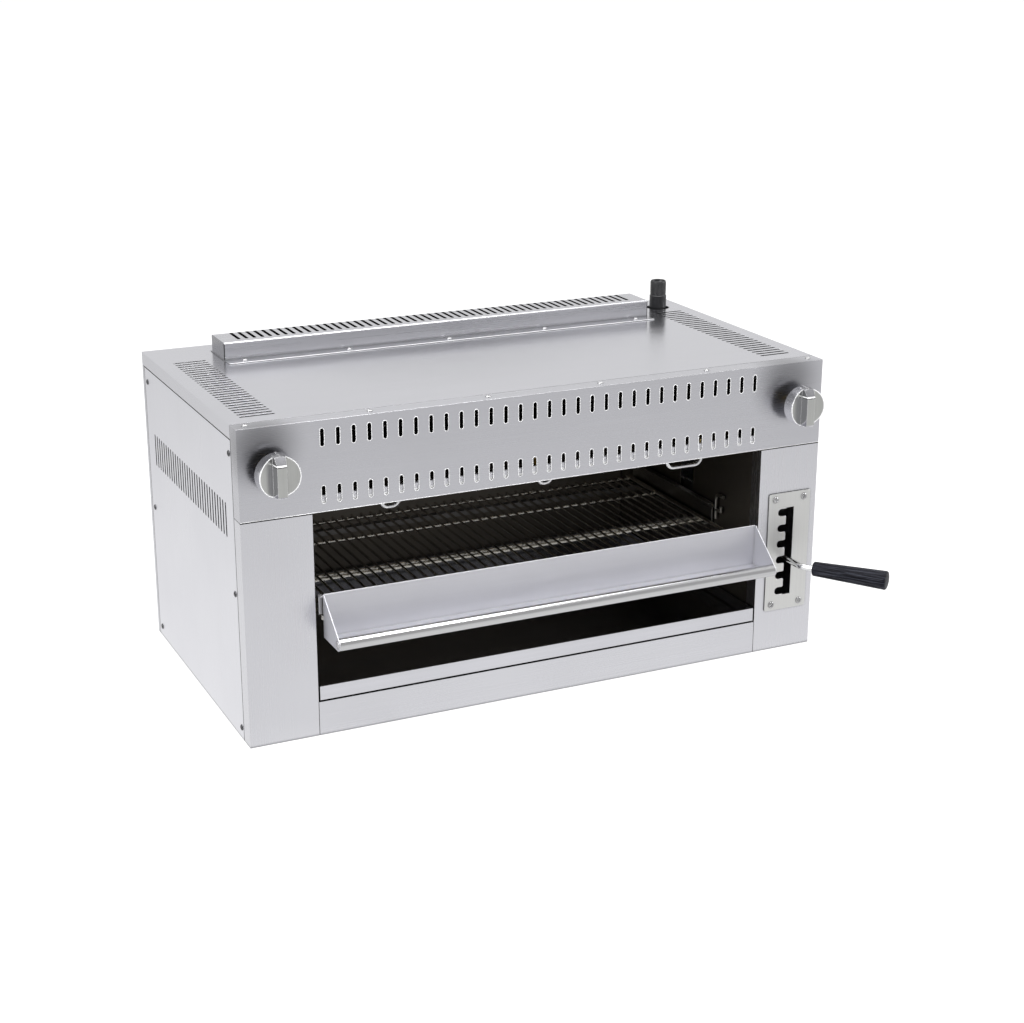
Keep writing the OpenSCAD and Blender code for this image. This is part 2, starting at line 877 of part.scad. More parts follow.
module gas_inlet() {
    top = body_h + inlet_rise;
    chamfer = 2;
    color(black) difference() {
        union() {
            z_rod(knob_z + elbow_l, top - inlet_thread_l, inlet_x, inlet_y, inlet_d / 2);
            z_rod(top - inlet_thread_l - eps, top - chamfer, inlet_x, inlet_y, inlet_thread_d / 2);
            translate([inlet_x, inlet_y, top - chamfer])
                cylinder(r1 = inlet_thread_d / 2, r2 = inlet_thread_d / 2 - chamfer / 2, h = chamfer);
        }
        z_rod(knob_z + elbow_l + 20, top + 1, inlet_x, inlet_y, inlet_d / 2 - 3.2);
    }
}

module valve() {
    half = valve_w / 2;
    collar_r = 9;
    color(brass) translate([valve_x, 0, knob_z]) difference() {
        union() {
            box([-half, valve_y0, -half], [half, valve_y1, half]);
            y_rod(y_front + sheet + 2, valve_y0, 0, 0, collar_r);
        }
        y_rod(y_front, valve_bore_end, 0, 0, stem_d / 2 + run_gap);
    }
}

module valve_left() {
    at_side(-1) valve();
}

module valve_right() {
    at_side(1) valve();
}

module burner_feed_tubes() {
    x = valve_x;
    y0 = (valve_y0 + valve_y1) / 2;
    z0 = knob_z - valve_w / 2;
    block = 6;
    color(alloy) both_sides() {
        z_rod(feed_z + feed_bend, z0, x, y0, feed_r);
        translate([x, y0 + feed_bend, feed_z + feed_bend]) rotate([0, 90, 0]) rotate([0, 0, -90])
            rotate_extrude(angle = 90) translate([feed_bend, 0]) circle(feed_r);
        y_rod(y0 + feed_bend, mixer_y - block, x, feed_z, feed_r);
    }
}

module burner_orifices() {
    block = 6;
    color(brass) both_sides() {
        box([orifice_x, mixer_y - block, feed_z - block], [valve_x + block, mixer_y + block, mixer_z + block]);
        x_rod(bell_x - 6, orifice_x, mixer_y, mixer_z, 5);
    }
}

module pilot_valve() {
    x0 = pilot_valve_x - pilot_valve_half;
    x1 = pilot_valve_x + pilot_valve_half;
    y0 = y_front + 24;
    z0 = pilot_run_z - 4;
    z1 = z0 + 26;
    head_z0 = knob_z - 8;
    color(brass) {
        box([x0, y0, z0], [x1, pilot_valve_y1, z1]);
        z_rod(z1, head_z0, pilot_valve_x, pilot_valve_y1 - 7, 4);
        box([x0, y_front + 32, head_z0], [x1 + 4, y_front + 49, head_z0 + 16]);
        y_rod(y0 - 2, y0, pilot_valve_x, z0 + 18, 4);
    }
}

// Dip in a pilot tube: down from the run to depth d below it, across and up to z_end
module pilot_dip(x0, x1, d, z_end, from_run) {
    b = d / 2;
    y = pilot_y;
    mid = pilot_run_z - b;
    if (from_run) quarter_bend(x0 - b, y, mid, b, pilot_r, 0);
    quarter_bend(x0 + b, y, mid, b, pilot_r, 180);
    x_rod(x0 + b, x1 - b, y, pilot_run_z - d, pilot_r);
    quarter_bend(x1 - b, y, mid, b, pilot_r, 270);
    z_rod(mid, z_end, x1, y, pilot_r);
}

module pilot_tubes() {
    b = dip_mid / 2;
    y = pilot_y;
    left_x = pilot_valve_x - pilot_valve_half;
    color(alloy) {
        // left run, from the side of the pilot valve
        x_rod(loop_left[1] + dip_left / 2, left_x, y, pilot_run_z, pilot_r);
        mirror([1, 0, 0]) pilot_dip(-loop_left[1], -loop_left[0], dip_left, pilot_head_z, true);
        // right run, from the underside of the pilot valve
        z_rod(pilot_run_z - b, pilot_run_z - 4, loop_mid[0], y, pilot_r);
        pilot_dip(loop_mid[0], loop_mid[1], dip_mid, pilot_run_z - b + 1, false);
        quarter_bend(loop_mid[1] + b - 1, y, pilot_run_z - b + 1, b - 1, pilot_r, 90);
        x_rod(loop_mid[1] + b - 1, loop_right[0] - dip_right / 2, y, pilot_run_z, pilot_r);
        pilot_dip(loop_right[0], loop_right[1], dip_right, pilot_head_z, true);
    }
}

module pilot_burners() {
    head_r = 4.5;
    foot = 7;
    top = deck_z + 2 * liner_t;
    color(brass) for (x = [loop_left[0], loop_right[1]]) {
        z_rod(pilot_head_z, pilot_head_z + pilot_head_h, x, pilot_y, head_r);
        box([x - foot, pilot_y, deck_z + liner_t], [x + foot, deck_front + 6, top]);
    }
}

// ---------- knobs ----------

module stem() {
    color(brass) y_rod(knob_y - stem_grip, valve_bore_end - 1, valve_x, knob_z, stem_d / 2);
}

module stem_left() {
    at_side(-1) stem();
}

module stem_right() {
    at_side(1) stem();
}

// Knob about its own axis: back at z = 0, finger bar up to z = knob_h, pointer at +Y
module knob_shape() {
    r = knob_d / 2;
    disc_h = 0.64 * knob_h;
    edge = 1.2;
    bar_base = 0.15 * knob_d;
    bar_half = 0.11 * knob_d;
    valley = disc_h - 5;
    over = 3;
    lean = (bar_base - bar_half) * over / (knob_h - valley);
    difference() {
        rotate_extrude() polygon([[0, 0], [r - edge, 0], [r, edge], [r, disc_h - edge / 2],
            [r - edge / 2, disc_h], [r - edge, knob_h], [0, knob_h]]);
        for (s = [-1, 1]) rotate([90, 0, 0]) translate([0, 0, -r - 1]) linear_extrude(2 * r + 2)
            polygon([[s * bar_base, valley], [s * (r - edge / 2), disc_h], [s * (r + 1), disc_h],
                [s * (r + 1), knob_h + over], [s * (bar_half - lean), knob_h + over]]);
        // long chamfer at the pointer end, short one at the other
        rotate([90, 0, 90]) translate([0, 0, -r]) linear_extrude(2 * r) {
            polygon([[0.55 * r, knob_h], [r + 1, disc_h - 1], [r + 1, knob_h + over], [0.55 * r, knob_h + over]]);
            polygon([[-0.84 * r, knob_h], [-r - 1, disc_h + 2], [-r - 1, knob_h + over], [-0.84 * r, knob_h + over]]);
        }
        translate([0, 0, -eps]) cylinder(r = stem_d / 2, h = stem_grip + eps);
    }
    translate([-0.9, r - 1, 1]) cube([1.8, 2, disc_h - 2.2]);
}

module knob_left() {
    color(polished) translate([-valve_x, knob_y, knob_z]) rotate([90, 0, 0]) knob_shape();
}

module knob_right() {
    color(polished) translate([valve_x, knob_y, knob_z]) rotate([90, 0, 0]) knob_shape();
}

// ---------- notch plate and lever ----------

module plate_screw_points() {
    for (i = [-1, 1], j = [-1, 1]) translate([plate_x + i * plate_screw_x, plate_z + j * plate_screw_z]) children();
}

module lever_slots(grow) {
    z0 = notch_low - notch_h / 2 - channel_end - grow;
    z1 = notch_top + notch_h / 2 + channel_end + grow;
    rect(channel_x0 - grow, z0, channel_x0 + channel_w + grow, z1);
}

module lever_window() {
    lever_slots(window_margin);
    rect(channel_x0 - notch_depth - window_margin, notch_low - notch_h / 2 - window_margin,
        channel_x0, notch_top + notch_h / 2 + window_margin);
}

module tooth_corner() {
    difference() {
        translate([-tooth_r, -eps]) square([tooth_r + eps, tooth_r + eps]);
        translate([-tooth_r, tooth_r]) circle(tooth_r);
    }
}

module notch_plate() {
    notch_r = notch_h / 2;
    tip = channel_x0 - notch_depth;
    color(satin) front_sheet(y_front - plate_t, plate_t) difference() {
        translate([plate_x, plate_z]) round_rect(plate_w, plate_h, plate_corner);
        lever_slots(0);
        for (k = [0 : notch_count - 1]) translate([0, notch_top - k * notch_pitch]) {
            translate([tip + notch_r, 0]) circle(notch_r);
            rect(tip + notch_r, -notch_r, channel_x0 + 1, notch_r);
            if (k > 0) translate([channel_x0, notch_r]) tooth_corner();
            if (k < notch_count - 1) translate([channel_x0, -notch_r]) mirror([0, 1]) tooth_corner();
        }
        plate_screw_points() circle(screw_r + screw_fit);
    }
}

module notch_plate_screws() {
    color(polished) front_sheet_points() screw(plate_screw_r, 2.6, screw_r, plate_t + sheet);
}

module front_sheet_points() {
    for (i = [-1, 1], j = [-1, 1])
        translate([plate_x + i * plate_screw_x, y_front - plate_t, plate_z + j * plate_screw_z])
            rotate([90, 0, 0]) children();
}

lever_x = channel_x0 + lever_rod_d / 2 + 0.4;
lever_pin_y = shaft_y - 53;
lever_pin_r = 4;
eye_r = 9;
eye_half = 7.3;
ear_t = 4;
ear_half = eye_half + slide_gap;
hub_half = 12;
bend_r = 20;
bend_y = y_front - lever_reach;
grip_gap = 19;
grip_bore_l = 60;

module lever_hub() {
    color(dark_steel) difference() {
        union() {
            x_rod(lever_x - hub_half, lever_x + hub_half, shaft_y, lift_z, 15);
            for (s = [-1, 1]) translate([lever_x - eye_r, lever_pin_y, lift_z + (s > 0 ? ear_half : -ear_half - ear_t)])
                cube([2 * eye_r, shaft_y - lever_pin_y, ear_t]);
            for (s = [-1, 1]) translate([lever_x, lever_pin_y, lift_z + (s > 0 ? ear_half : -ear_half - ear_t)])
                cylinder(r = eye_r, h = ear_t);
            z_rod(lift_z - ear_half - ear_t - 2, lift_z + ear_half + ear_t + 2, lever_x, lever_pin_y, lever_pin_r);
        }
        x_rod(lever_x - hub_half - 1, lever_x + hub_half + 1, shaft_y, lift_z, shaft_d / 2);
    }
}

module lever_rod() {
    r = lever_rod_d / 2;
    tangent = bend_r * tan(lever_bend / 2);
    straight = bend_y + tangent;
    color(polished) difference() {
        union() {
            z_rod(lift_z - eye_half, lift_z + eye_half, lever_x, lever_pin_y, eye_r);
            y_rod(straight, lever_pin_y, lever_x, lift_z, r);
            translate([lever_x + bend_r, straight, lift_z]) rotate([0, 0, 180])
                rotate_extrude(angle = lever_bend) translate([bend_r, 0]) circle(r);
            translate([lever_x, bend_y, lift_z]) rotate([90, 0, lever_bend]) translate([0, 0, tangent])
                cylinder(r = r, h = grip_gap + grip_bore_l - tangent);
        }
        z_rod(lift_z - eye_half - 1, lift_z + eye_half + 1, lever_x, lever_pin_y, lever_pin_r + run_gap);
    }
}

module lever_grip() {
    r0 = grip_d0 / 2;
    r1 = grip_d1 / 2;
    round_r = 2.5;
    flutes = 12;
    flute_r = 2;
    color(black) translate([lever_x, bend_y, lift_z]) rotate([90, 0, lever_bend]) translate([0, 0, grip_gap]) difference() {
        rotate_extrude() difference() {
            union() {
                polygon([[0, 0], [r0 - round_r, 0], [r0, round_r], [r1, grip_l - round_r], [r1 - round_r, grip_l], [0, grip_l]]);
                translate([r0 - round_r, round_r]) circle(round_r);
                translate([r1 - round_r, grip_l - round_r]) circle(round_r);
            }
            translate([-r1, -1]) square([r1, grip_l + 2]);
            translate([-1, -eps]) square([lever_rod_d / 2 + 1, grip_bore_l + eps]);
        }
        for (k = [0 : flutes - 1]) rotate([0, 0, k * 360 / flutes]) translate([r0 + flute_r * 0.62, 0, 6])
            rotate([0, atan((r1 - r0) / grip_l), 0]) cylinder(r = flute_r, h = grip_l - 14);
    }
}

// ---------- lift ----------

module lift_shaft() {
    color(dark_steel) x_rod(-(bracket_x + bracket_t + 6), lever_x + hub_half + 2, shaft_y, lift_z, shaft_d / 2);
}

module link_outline(z, end_r) {
    rect(arm_y, z - arm_h / 2, shaft_y, z + arm_h / 2);
    translate([arm_y, z]) circle(end_r);
}

module lift_arms() {
    boss_x = arm_x + arm_t;
    color(dark_steel) {
        both_sides() difference() {
            union() {
                side_sheet(arm_x, arm_t) {
                    link_outline(lift_z, 11);
                    translate([shaft_y, lift_z]) circle(hub_r);
                }
                x_rod(boss_x - eps, bracket_x - slide_gap, shaft_y, lift_z, hub_r - 1);
            }
            x_rod(arm_x - 1, bracket_x + 1, shaft_y, lift_z, shaft_d / 2);
            x_rod(arm_x - 1, boss_x + 1, arm_y, lift_z, pivot_d / 2 + run_gap);
        }
        mirror([1, 0, 0]) x_rod(boss_x, spring_x + 6, spring_y, lift_z, stud_r);
    }
}

module stabiliser_links() {
    boss_x = arm_x + arm_t;
    color(dark_steel) both_sides() difference() {
        union() {
            side_sheet(arm_x, arm_t) {
                link_outline(link_z, 11);
                translate([shaft_y, link_z]) circle(11);
            }
            x_rod(boss_x - eps, bracket_x - slide_gap, shaft_y, link_z, 9);
        }
        x_rod(arm_x - 1, bracket_x + 1, shaft_y, link_z, pivot_d / 2 + run_gap);
        x_rod(arm_x - 1, boss_x + 1, arm_y, link_z, pivot_d / 2 + open_pivot_gap);
    }
}

module shaft_brackets() {
    wall_y = y_back - sheet;
    z0 = lift_z - hub_r - 14;
    z1 = link_z + hub_r + 7;
    flange_w = 20;
    flange_t = 2;
    color(steel) both_sides() {
        difference() {
            side_sheet(bracket_x, bracket_t) rect(rear_liner_y + liner_t + 2, z0, wall_y, z1);
            x_rod(bracket_x - 1, bracket_x + bracket_t + 1, shaft_y, lift_z, shaft_d / 2 + bush_wall);
        }
        box([bracket_x, wall_y - flange_t, z0], [bracket_x + flange_w, wall_y, z1]);
        x_rod(arm_x - 2, bracket_x, shaft_y, link_z, pivot_d / 2);
    }
}

module shaft_bushes() {
    x0 = bracket_x;
    color(brass) both_sides() difference() {
        union() {
            x_rod(x0, x0 + bracket_t, shaft_y, lift_z, shaft_d / 2 + bush_wall);
            x_rod(x0 + bracket_t, x0 + bracket_t + 2, shaft_y, lift_z, shaft_d / 2 + bush_wall + 2);
        }
        x_rod(x0 - 1, x0 + bracket_t + 3, shaft_y, lift_z, shaft_d / 2 + run_gap);
    }
}

module carriage_plates() {
    face = carriage_x + carriage_t;
    head_x = arm_x + arm_t + slide_gap;
    plate_z0 = lift_z - 12;
    plate_z1 = link_z + 15;
    plate_half = 15;
    color(dark_steel) both_sides() {
        box([carriage_x, arm_y - plate_half, plate_z0], [face, arm_y + plate_half, plate_z1]);
        for (z = [lift_z, link_z]) {
            x_rod(face, head_x + pin_head_t, arm_y, z, pivot_d / 2);
            x_rod(head_x, head_x + pin_head_t, arm_y, z, pin_head_r);
        }
        box([rail_x1, arm_y - bridge_half, bridge_z0], [carriage_x, arm_y + bridge_half, bridge_z1]);
    }
}

module carriage_frame() {
    color(dark_steel) for (y = cross_ys)
        box([-rail_x1, y - cross_w / 2, rail_z0 - cross_h], [rail_x1, y + cross_w / 2, rail_z0]);
}

// Hooked stop at the front end of a rail, bent from rod
module rail_hook() {
    r = hook_d / 2;
    y_rod(hook_y, rail_front + 12, hook_x, prong_z + 4, r);
    z_rod(hook_z0, hook_z1 - hook_bend - r, hook_x, hook_y, r);
    translate([hook_x, hook_y - hook_bend, hook_z1 - hook_bend - r]) rotate([0, -90, 0])
        rotate_extrude(angle = 90) translate([hook_bend, 0]) circle(r);
    y_rod(hook_y - hook_bend - 13, hook_y - hook_bend, hook_x, hook_z1 - r, r);
    y_rod(hook_y - prong_l, hook_y, hook_x, prong_z, r);
    z_rod(prong_z, prong_z + 8, hook_x, hook_y - prong_l, r);
    translate([hook_x, hook_y - prong_l, prong_z]) sphere(r);
}

module carriage_rails() {
    color(satin) both_sides() {
        front_profile(rail_front, rail_rear) {
            rect(rail_x1 - rail_t, rail_z0, rail_x1, rail_z1);
            rect(rail_x0, rail_z0, rail_x1, rail_z0 + rail_t);
            rect(rail_x1 - rail_top_w, rail_z1 - rail_t, rail_x1, rail_z1);
        }
        rail_hook();
    }
}

// Helix of the counterbalance spring with straight hooks, as rings of points
function coil_point(t) = [spring_r * cos(360 * t), spring_r * sin(360 * t)];
spring_sides = 6;
spring_steps = spring_turns * 10;
spring_z0 = lift_z + stud_r + 0.3;
spring_len = spring_top - spring_z0;
spring_lead = 3;

function spring_path() = concat(
    [[0, 0, 0], [0, 0, spring_lead]],
    [for (i = [0 : spring_steps]) let (t = i / 10, p = coil_point(t))
        [p[0], p[1], spring_hook + (spring_len - 2 * spring_hook) * i / spring_steps]],
    [[0, 0, spring_len - spring_lead], [0, 0, spring_len]]);

function ring(c, d) = let (
    u = d / norm(d),
    a = abs(u[2]) > 0.9 ? [1, 0, 0] : [0, 0, 1],
    v = cross(u, a) / norm(cross(u, a)),
    w = cross(u, v))
    [for (k = [0 : spring_sides - 1]) let (q = 360 * k / spring_sides)
        c + spring_wire * (cos(q) * v + sin(q) * w)];

module swept_tube(path) {
    n = len(path);
    rings = [for (i = [0 : n - 1]) ring(path[i], path[min(i + 1, n - 1)] - path[max(i - 1, 0)])];
    points = [for (r = rings, p = r) p];
    s = spring_sides;
    faces = concat(
        [[for (k = [0 : s - 1]) s - 1 - k]],
        [for (i = [0 : n - 2], k = [0 : s - 1])
            each [[i * s + k, i * s + (k + 1) % s, (i + 1) * s + (k + 1) % s],
                [i * s + k, (i + 1) * s + (k + 1) % s, (i + 1) * s + k]]],
        [[for (k = [0 : s - 1]) (n - 1) * s + k]]);
    polyhedron(points, faces);
}

module lift_spring() {
    color(polished) translate([-spring_x, spring_y, spring_z0]) swept_tube(spring_path());
}

module spring_anchor() {
    arm_end = spring_x + 8;
    color(steel) mirror([1, 0, 0]) {
        box([liner_out, spring_y - 8, spring_top + slide_gap], [arm_end, spring_y + 8, spring_top + slide_gap + anchor_t]);
        box([liner_out, spring_y - 8, spring_top - 12], [liner_out + anchor_t, spring_y + 8, spring_top + slide_gap + eps]);
    }
}

// ---------- rack ----------

module rack_grid() {
    $fn = 24;
    color(polished) {
        for (i = [0 : wire_count - 1])
            y_rod(grid_front, grid_rear - 6, (i - (wire_count - 1) / 2) * wire_pitch, rack_z, wire_d / 2);
        for (y = rod_ys) x_rod(-grid_half, grid_half, y, rod_z, rod_r);
        both_sides() y_rod(grid_front, grid_rear, grid_half, rod_z, rod_r);
    }
}

module front_profile(y0, y1) {
    translate([0, y1, 0]) rotate([90, 0, 0]) linear_extrude(y1 - y0) children();
}

// Trough end: a triangle that runs tangent into the round of the handle
module trough_end() {
    r = handle_d / 2;
    top = [trough_y - 2, trough_z0 + trough_h];
    centre = [handle_y, handle_z];
    d = top - centre;
    a = atan2(d[1], d[0]) + acos(r / norm(d));
    touch = centre + r * [cos(a), sin(a)];
    polygon([[trough_y + trough_t, trough_z0], [trough_y + trough_t, trough_z0 + trough_h], top, touch, centre,
        [handle_y, trough_z0]]);
    translate(centre) circle(r);
}

module rack_trough() {
    inner = trough_half - trough_t;
    hook_x0 = trough_half - trough_t;
    hook_top = rack_z + 27.7;
    hook_rear = y_front + 3;
    color(steel) {
        box([-inner - eps, trough_y, trough_z0], [inner + eps, trough_y + trough_t, trough_z0 + trough_h]);
        box([-inner - eps, handle_y + handle_d / 4, trough_z0], [inner + eps, trough_y + eps, trough_z0 + trough_t]);
        both_sides() {
            side_sheet(inner, trough_t) trough_end();
            // folded bracket behind the top corner
            side_sheet(hook_x0, bracket_in) difference() {
                rect(grid_front, rack_z - 0.8, hook_rear, hook_top);
                rect(grid_front - eps, rack_z - 2, hook_rear - 1.5, hook_top - 1.5);
            }
        }
    }
}

module rack_handle() {
    inner = trough_half - trough_t;
    r = handle_d / 2;
    cap_r = 6;
    color(polished) {
        difference() {
            x_rod(-inner, inner, handle_y, handle_z, r);
            x_rod(-inner + 5, inner - 5, handle_y, handle_z, r - handle_wall);
        }
        both_sides() translate([trough_half, handle_y, handle_z]) rotate([0, 90, 0]) screw(cap_r, 2, 2, 0);
    }
}

module drip_tray() {
    y0 = y_front;
    hem = 4;
    rim = 6;
    color(steel) {
        difference() {
            box([-tray_half, y0, tray_z], [tray_half, tray_rear, tray_z + tray_h]);
            box([-tray_half + tray_wall, y0 + tray_wall, tray_z + tray_wall],
                [tray_half - tray_wall, tray_rear - tray_wall, tray_z + tray_h + 1]);
        }
        box([-tray_half, y0, tray_z + tray_h - hem], [tray_half, y0 + rim, tray_z + tray_h]);
    }
}

base_pan();
corner_posts();
side_panel_left();
side_panel_right();
back_panel();
top_cover();
control_fascia();
pillar_left();
pillar_right();
lower_front_panel();
liner_left();
liner_right();
rear_liner();
heat_shield();
burner_deck();
flue_riser();
flue_baffle();
burner_left();
burner_right();
burner_tiles();
burner_screens();
mixing_tubes();
gas_manifold();
supply_pipe();
pipe_elbows();
gas_inlet();
valve_left();
valve_right();
burner_feed_tubes();
burner_orifices();
pilot_valve();
pilot_tubes();
pilot_burners();
notch_plate();
notch_plate_screws();
top_screws();
side_screws();
tray_runners();
shaft_brackets();
shaft_bushes();
spring_anchor();
lift_spring();
leg_nuts();
stem_left();
knob_left();
stem_right();
knob_right();
lift_shaft();
lift_arms();
lever_hub();
lever_rod();
lever_grip();
carriage_plates();
carriage_frame();
carriage_rails();
stabiliser_links();
rack_grid();
rack_trough();
rack_handle();
drip_tray();
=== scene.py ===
import json
import math

import bmesh
import bpy
from mathutils import Matrix, Vector


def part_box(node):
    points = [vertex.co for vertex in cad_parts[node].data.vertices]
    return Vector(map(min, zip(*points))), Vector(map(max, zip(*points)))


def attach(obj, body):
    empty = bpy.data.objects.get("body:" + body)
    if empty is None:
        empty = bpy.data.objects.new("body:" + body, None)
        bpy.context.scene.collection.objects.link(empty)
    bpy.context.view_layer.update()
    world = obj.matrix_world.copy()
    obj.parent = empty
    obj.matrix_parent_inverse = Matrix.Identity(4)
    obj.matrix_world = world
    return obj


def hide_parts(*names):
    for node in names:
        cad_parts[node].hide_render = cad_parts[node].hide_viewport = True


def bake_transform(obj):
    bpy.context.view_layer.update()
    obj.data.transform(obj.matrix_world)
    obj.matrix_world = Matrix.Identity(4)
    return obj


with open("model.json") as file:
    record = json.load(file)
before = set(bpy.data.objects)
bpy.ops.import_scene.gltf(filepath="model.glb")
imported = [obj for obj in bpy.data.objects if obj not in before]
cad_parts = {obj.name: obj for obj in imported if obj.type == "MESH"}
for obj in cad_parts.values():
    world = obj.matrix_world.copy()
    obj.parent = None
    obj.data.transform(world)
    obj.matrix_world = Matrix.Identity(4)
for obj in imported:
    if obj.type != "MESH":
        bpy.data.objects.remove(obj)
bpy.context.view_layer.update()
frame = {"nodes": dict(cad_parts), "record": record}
nodes = frame["nodes"]
mm = 0.001
print("frame loaded:", len(nodes), "nodes")


# camera and lamps

viewSettings = {
    "place": (-1.13317, -2.52163, 1.13315),
    "right": (0.904894, -0.425634, 0.001271),
    "up": (0.133961, 0.287631, 0.948326),
    "back": (-0.404006, -0.857965, 0.317295),
    "lens": 65.953,
    "sensor": 36.0,
    "clip": (0.05, 200),
}


def placeCamera(s):
    data = bpy.data.cameras.new("viewCamera")
    data.lens = s["lens"]
    data.sensor_width = s["sensor"]
    data.clip_start, data.clip_end = s["clip"]
    cam = bpy.data.objects.new("viewCamera", data)
    bpy.context.collection.objects.link(cam)
    turn = Matrix((s["right"], s["up"], s["back"])).transposed().to_4x4()
    cam.matrix_world = Matrix.Translation(s["place"]) @ turn
    bpy.context.scene.camera = cam


lampSettings = {
    "leftSoftbox": {"place": (-3.4, -0.9, 1.7), "aim": (-0.4, 0.0, 0.25), "size": (2.6, 2.2), "power": 74},
    "frontSoftbox": {"place": (0.3, -2.3, 4.9), "aim": (0.0, -0.1, 0.2), "size": (3.4, 1.8), "power": 130},
    "topSoftbox": {"place": (0.2, 0.5, 3.3), "aim": (0.0, 0.0, 0.3), "size": (3.4, 2.4), "power": 78},
    "rightEdge": {"place": (3.4, -1.4, 1.6), "aim": (0.4, 0.0, 0.2), "size": (1.2, 2.0), "power": 34},
}


def hangLamps(lamps):
    for name, s in lamps.items():
        data = bpy.data.lights.new(name, "AREA")
        data.shape = "RECTANGLE"
        data.size, data.size_y = s["size"]
        data.energy = s["power"]
        lamp = bpy.data.objects.new(name, data)
        bpy.context.collection.objects.link(lamp)
        look = Vector(s["aim"]) - Vector(s["place"])
        lamp.location = s["place"]
        lamp.rotation_euler = look.to_track_quat("-Z", "Y").to_euler()


# small helpers for node trees

def addNode(tree, kind, inputs=None, **settings):
    # inputs: sockets are linked and plain values are set, by label or number
    n = tree.nodes.new(kind)
    for key, value in settings.items():
        setattr(n, key, value)
    for key, value in (inputs or {}).items():
        if isinstance(value, bpy.types.NodeSocket):
            tree.links.new(value, n.inputs[key])
        elif value is not None:
            n.inputs[key].default_value = value
    return n


def mathNode(tree, operation, a, b=None, clamp=False):
    return addNode(tree, "ShaderNodeMath", {0: a, 1: b}, operation=operation, use_clamp=clamp).outputs[0]


def vectorMath(tree, operation, a, b=None):
    return addNode(tree, "ShaderNodeVectorMath", {0: a, 1: b}, operation=operation).outputs


def mapRange(tree, value, low, high, toLow, toHigh):
    values = {"Value": value, "From Min": low, "From Max": high, "To Min": toLow, "To Max": toHigh}
    return addNode(tree, "ShaderNodeMapRange", values).outputs["Result"]


def noiseFrom(tree, vector, scale=1.0, detail=2.0, rough=0.5):
    values = {"Vector": vector, "Scale": scale, "Detail": detail, "Roughness": rough}
    return addNode(tree, "ShaderNodeTexNoise", values).outputs[0]


def objectPlace(tree):
    return tree.nodes.new("ShaderNodeTexCoord").outputs["Object"]


def splitUp(tree, vector):
    # x, y and z of a place or a normal
    return addNode(tree, "ShaderNodeSeparateXYZ", {0: vector}).outputs


def glowNode(tree, strength):
    return addNode(tree, "ShaderNodeEmission", {"Strength": strength}).outputs[0]


def mixShaders(tree, fac, a, b):
    return addNode(tree, "ShaderNodeMixShader", {0: fac, 1: a, 2: b}).outputs[0]


def emptyMaterial(name):
    mat = bpy.data.materials.new(name)
    mat.use_nodes = True
    mat.node_tree.nodes.clear()
    return mat, mat.node_tree, mat.node_tree.nodes.new("ShaderNodeOutputMaterial")


# floor, world and what the metal mirrors

studioSettings = {
    "fill": 0.66, "white": 1.0,  # world strength for light and for the eye
    "floorHalf": 60.0, "floorDrop": 0.0005, "floorColour": (0.93, 0.93, 0.93, 1.0),
    "floorGlow": 0.74, "floorWhite": 1.22,
    "nearGlow": 0.96, "farGlow": 0.74, "nearReach": 0.45, "farReach": 2.2,  # the floor as reflections see it
    "cardGlow": 0.55, "cardPlace": (0.0, -9.0, 6.2), "cardSize": (30.0, 12.0),
}


def glossPlane(name, half, place, turn):
    mesh = bpy.data.meshes.new(name)
    x, y = half
    mesh.from_pydata([(-x, -y, 0), (x, -y, 0), (x, y, 0), (-x, y, 0)], [], [(0, 1, 2, 3)])
    obj = bpy.data.objects.new(name, mesh)
    bpy.context.collection.objects.link(obj)
    obj.location = place
    obj.rotation_euler = turn
    return obj


def buildWorld(s):
    world = bpy.data.worlds.new("studioWorld")
    bpy.context.scene.world = world
    world.use_nodes = True
    tree = world.node_tree
    tree.nodes.clear()
    path = tree.nodes.new("ShaderNodeLightPath").outputs
    seen = mathNode(tree, "MAXIMUM", path["Is Camera Ray"], path["Is Transmission Ray"])
    bright = mathNode(tree, "MAXIMUM", path["Is Glossy Ray"], seen)
    level = mapRange(tree, bright, 0.0, 1.0, s["fill"], s["white"])
    back = addNode(tree, "ShaderNodeBackground", {"Strength": level})
    addNode(tree, "ShaderNodeOutputWorld", {"Surface": back.outputs[0]})


def buildFloor(s):
    # white to the eye with a soft shadow; in reflections bright near the part and quieter far off
    floor = glossPlane("studioFloor", (s["floorHalf"],) * 2, (0, 0, -s["floorDrop"]), (0, 0, 0))
    mat, tree, out = emptyMaterial("paleFloor")
    matte = addNode(tree, "ShaderNodeBsdfDiffuse", {"Color": s["floorColour"]})
    path = tree.nodes.new("ShaderNodeLightPath").outputs
    away = vectorMath(tree, "LENGTH", objectPlace(tree))["Value"]
    mirrored = glowNode(tree, mapRange(tree, away, s["nearReach"], s["farReach"], s["nearGlow"], s["farGlow"]))
    share = mathNode(tree, "MULTIPLY", path["Is Camera Ray"], s["floorGlow"])
    seen = mixShaders(tree, share, matte.outputs[0], glowNode(tree, s["floorWhite"]))
    tree.links.new(mixShaders(tree, path["Is Glossy Ray"], seen, mirrored), out.inputs["Surface"])
    floor.data.materials.append(mat)


def buildCard(s):
    # a grey wall behind the camera, met only by reflections
    card = glossPlane("roomCard", tuple(v / 2 for v in s["cardSize"]), s["cardPlace"], (math.pi / 2, 0, 0))
    mat, tree, out = emptyMaterial("greyWall")
    tree.links.new(glowNode(tree, s["cardGlow"]), out.inputs["Surface"])
    card.data.materials.append(mat)
    for flag in ("camera", "diffuse", "transmission", "shadow", "volume_scatter"):
        setattr(card, "visible_" + flag, False)


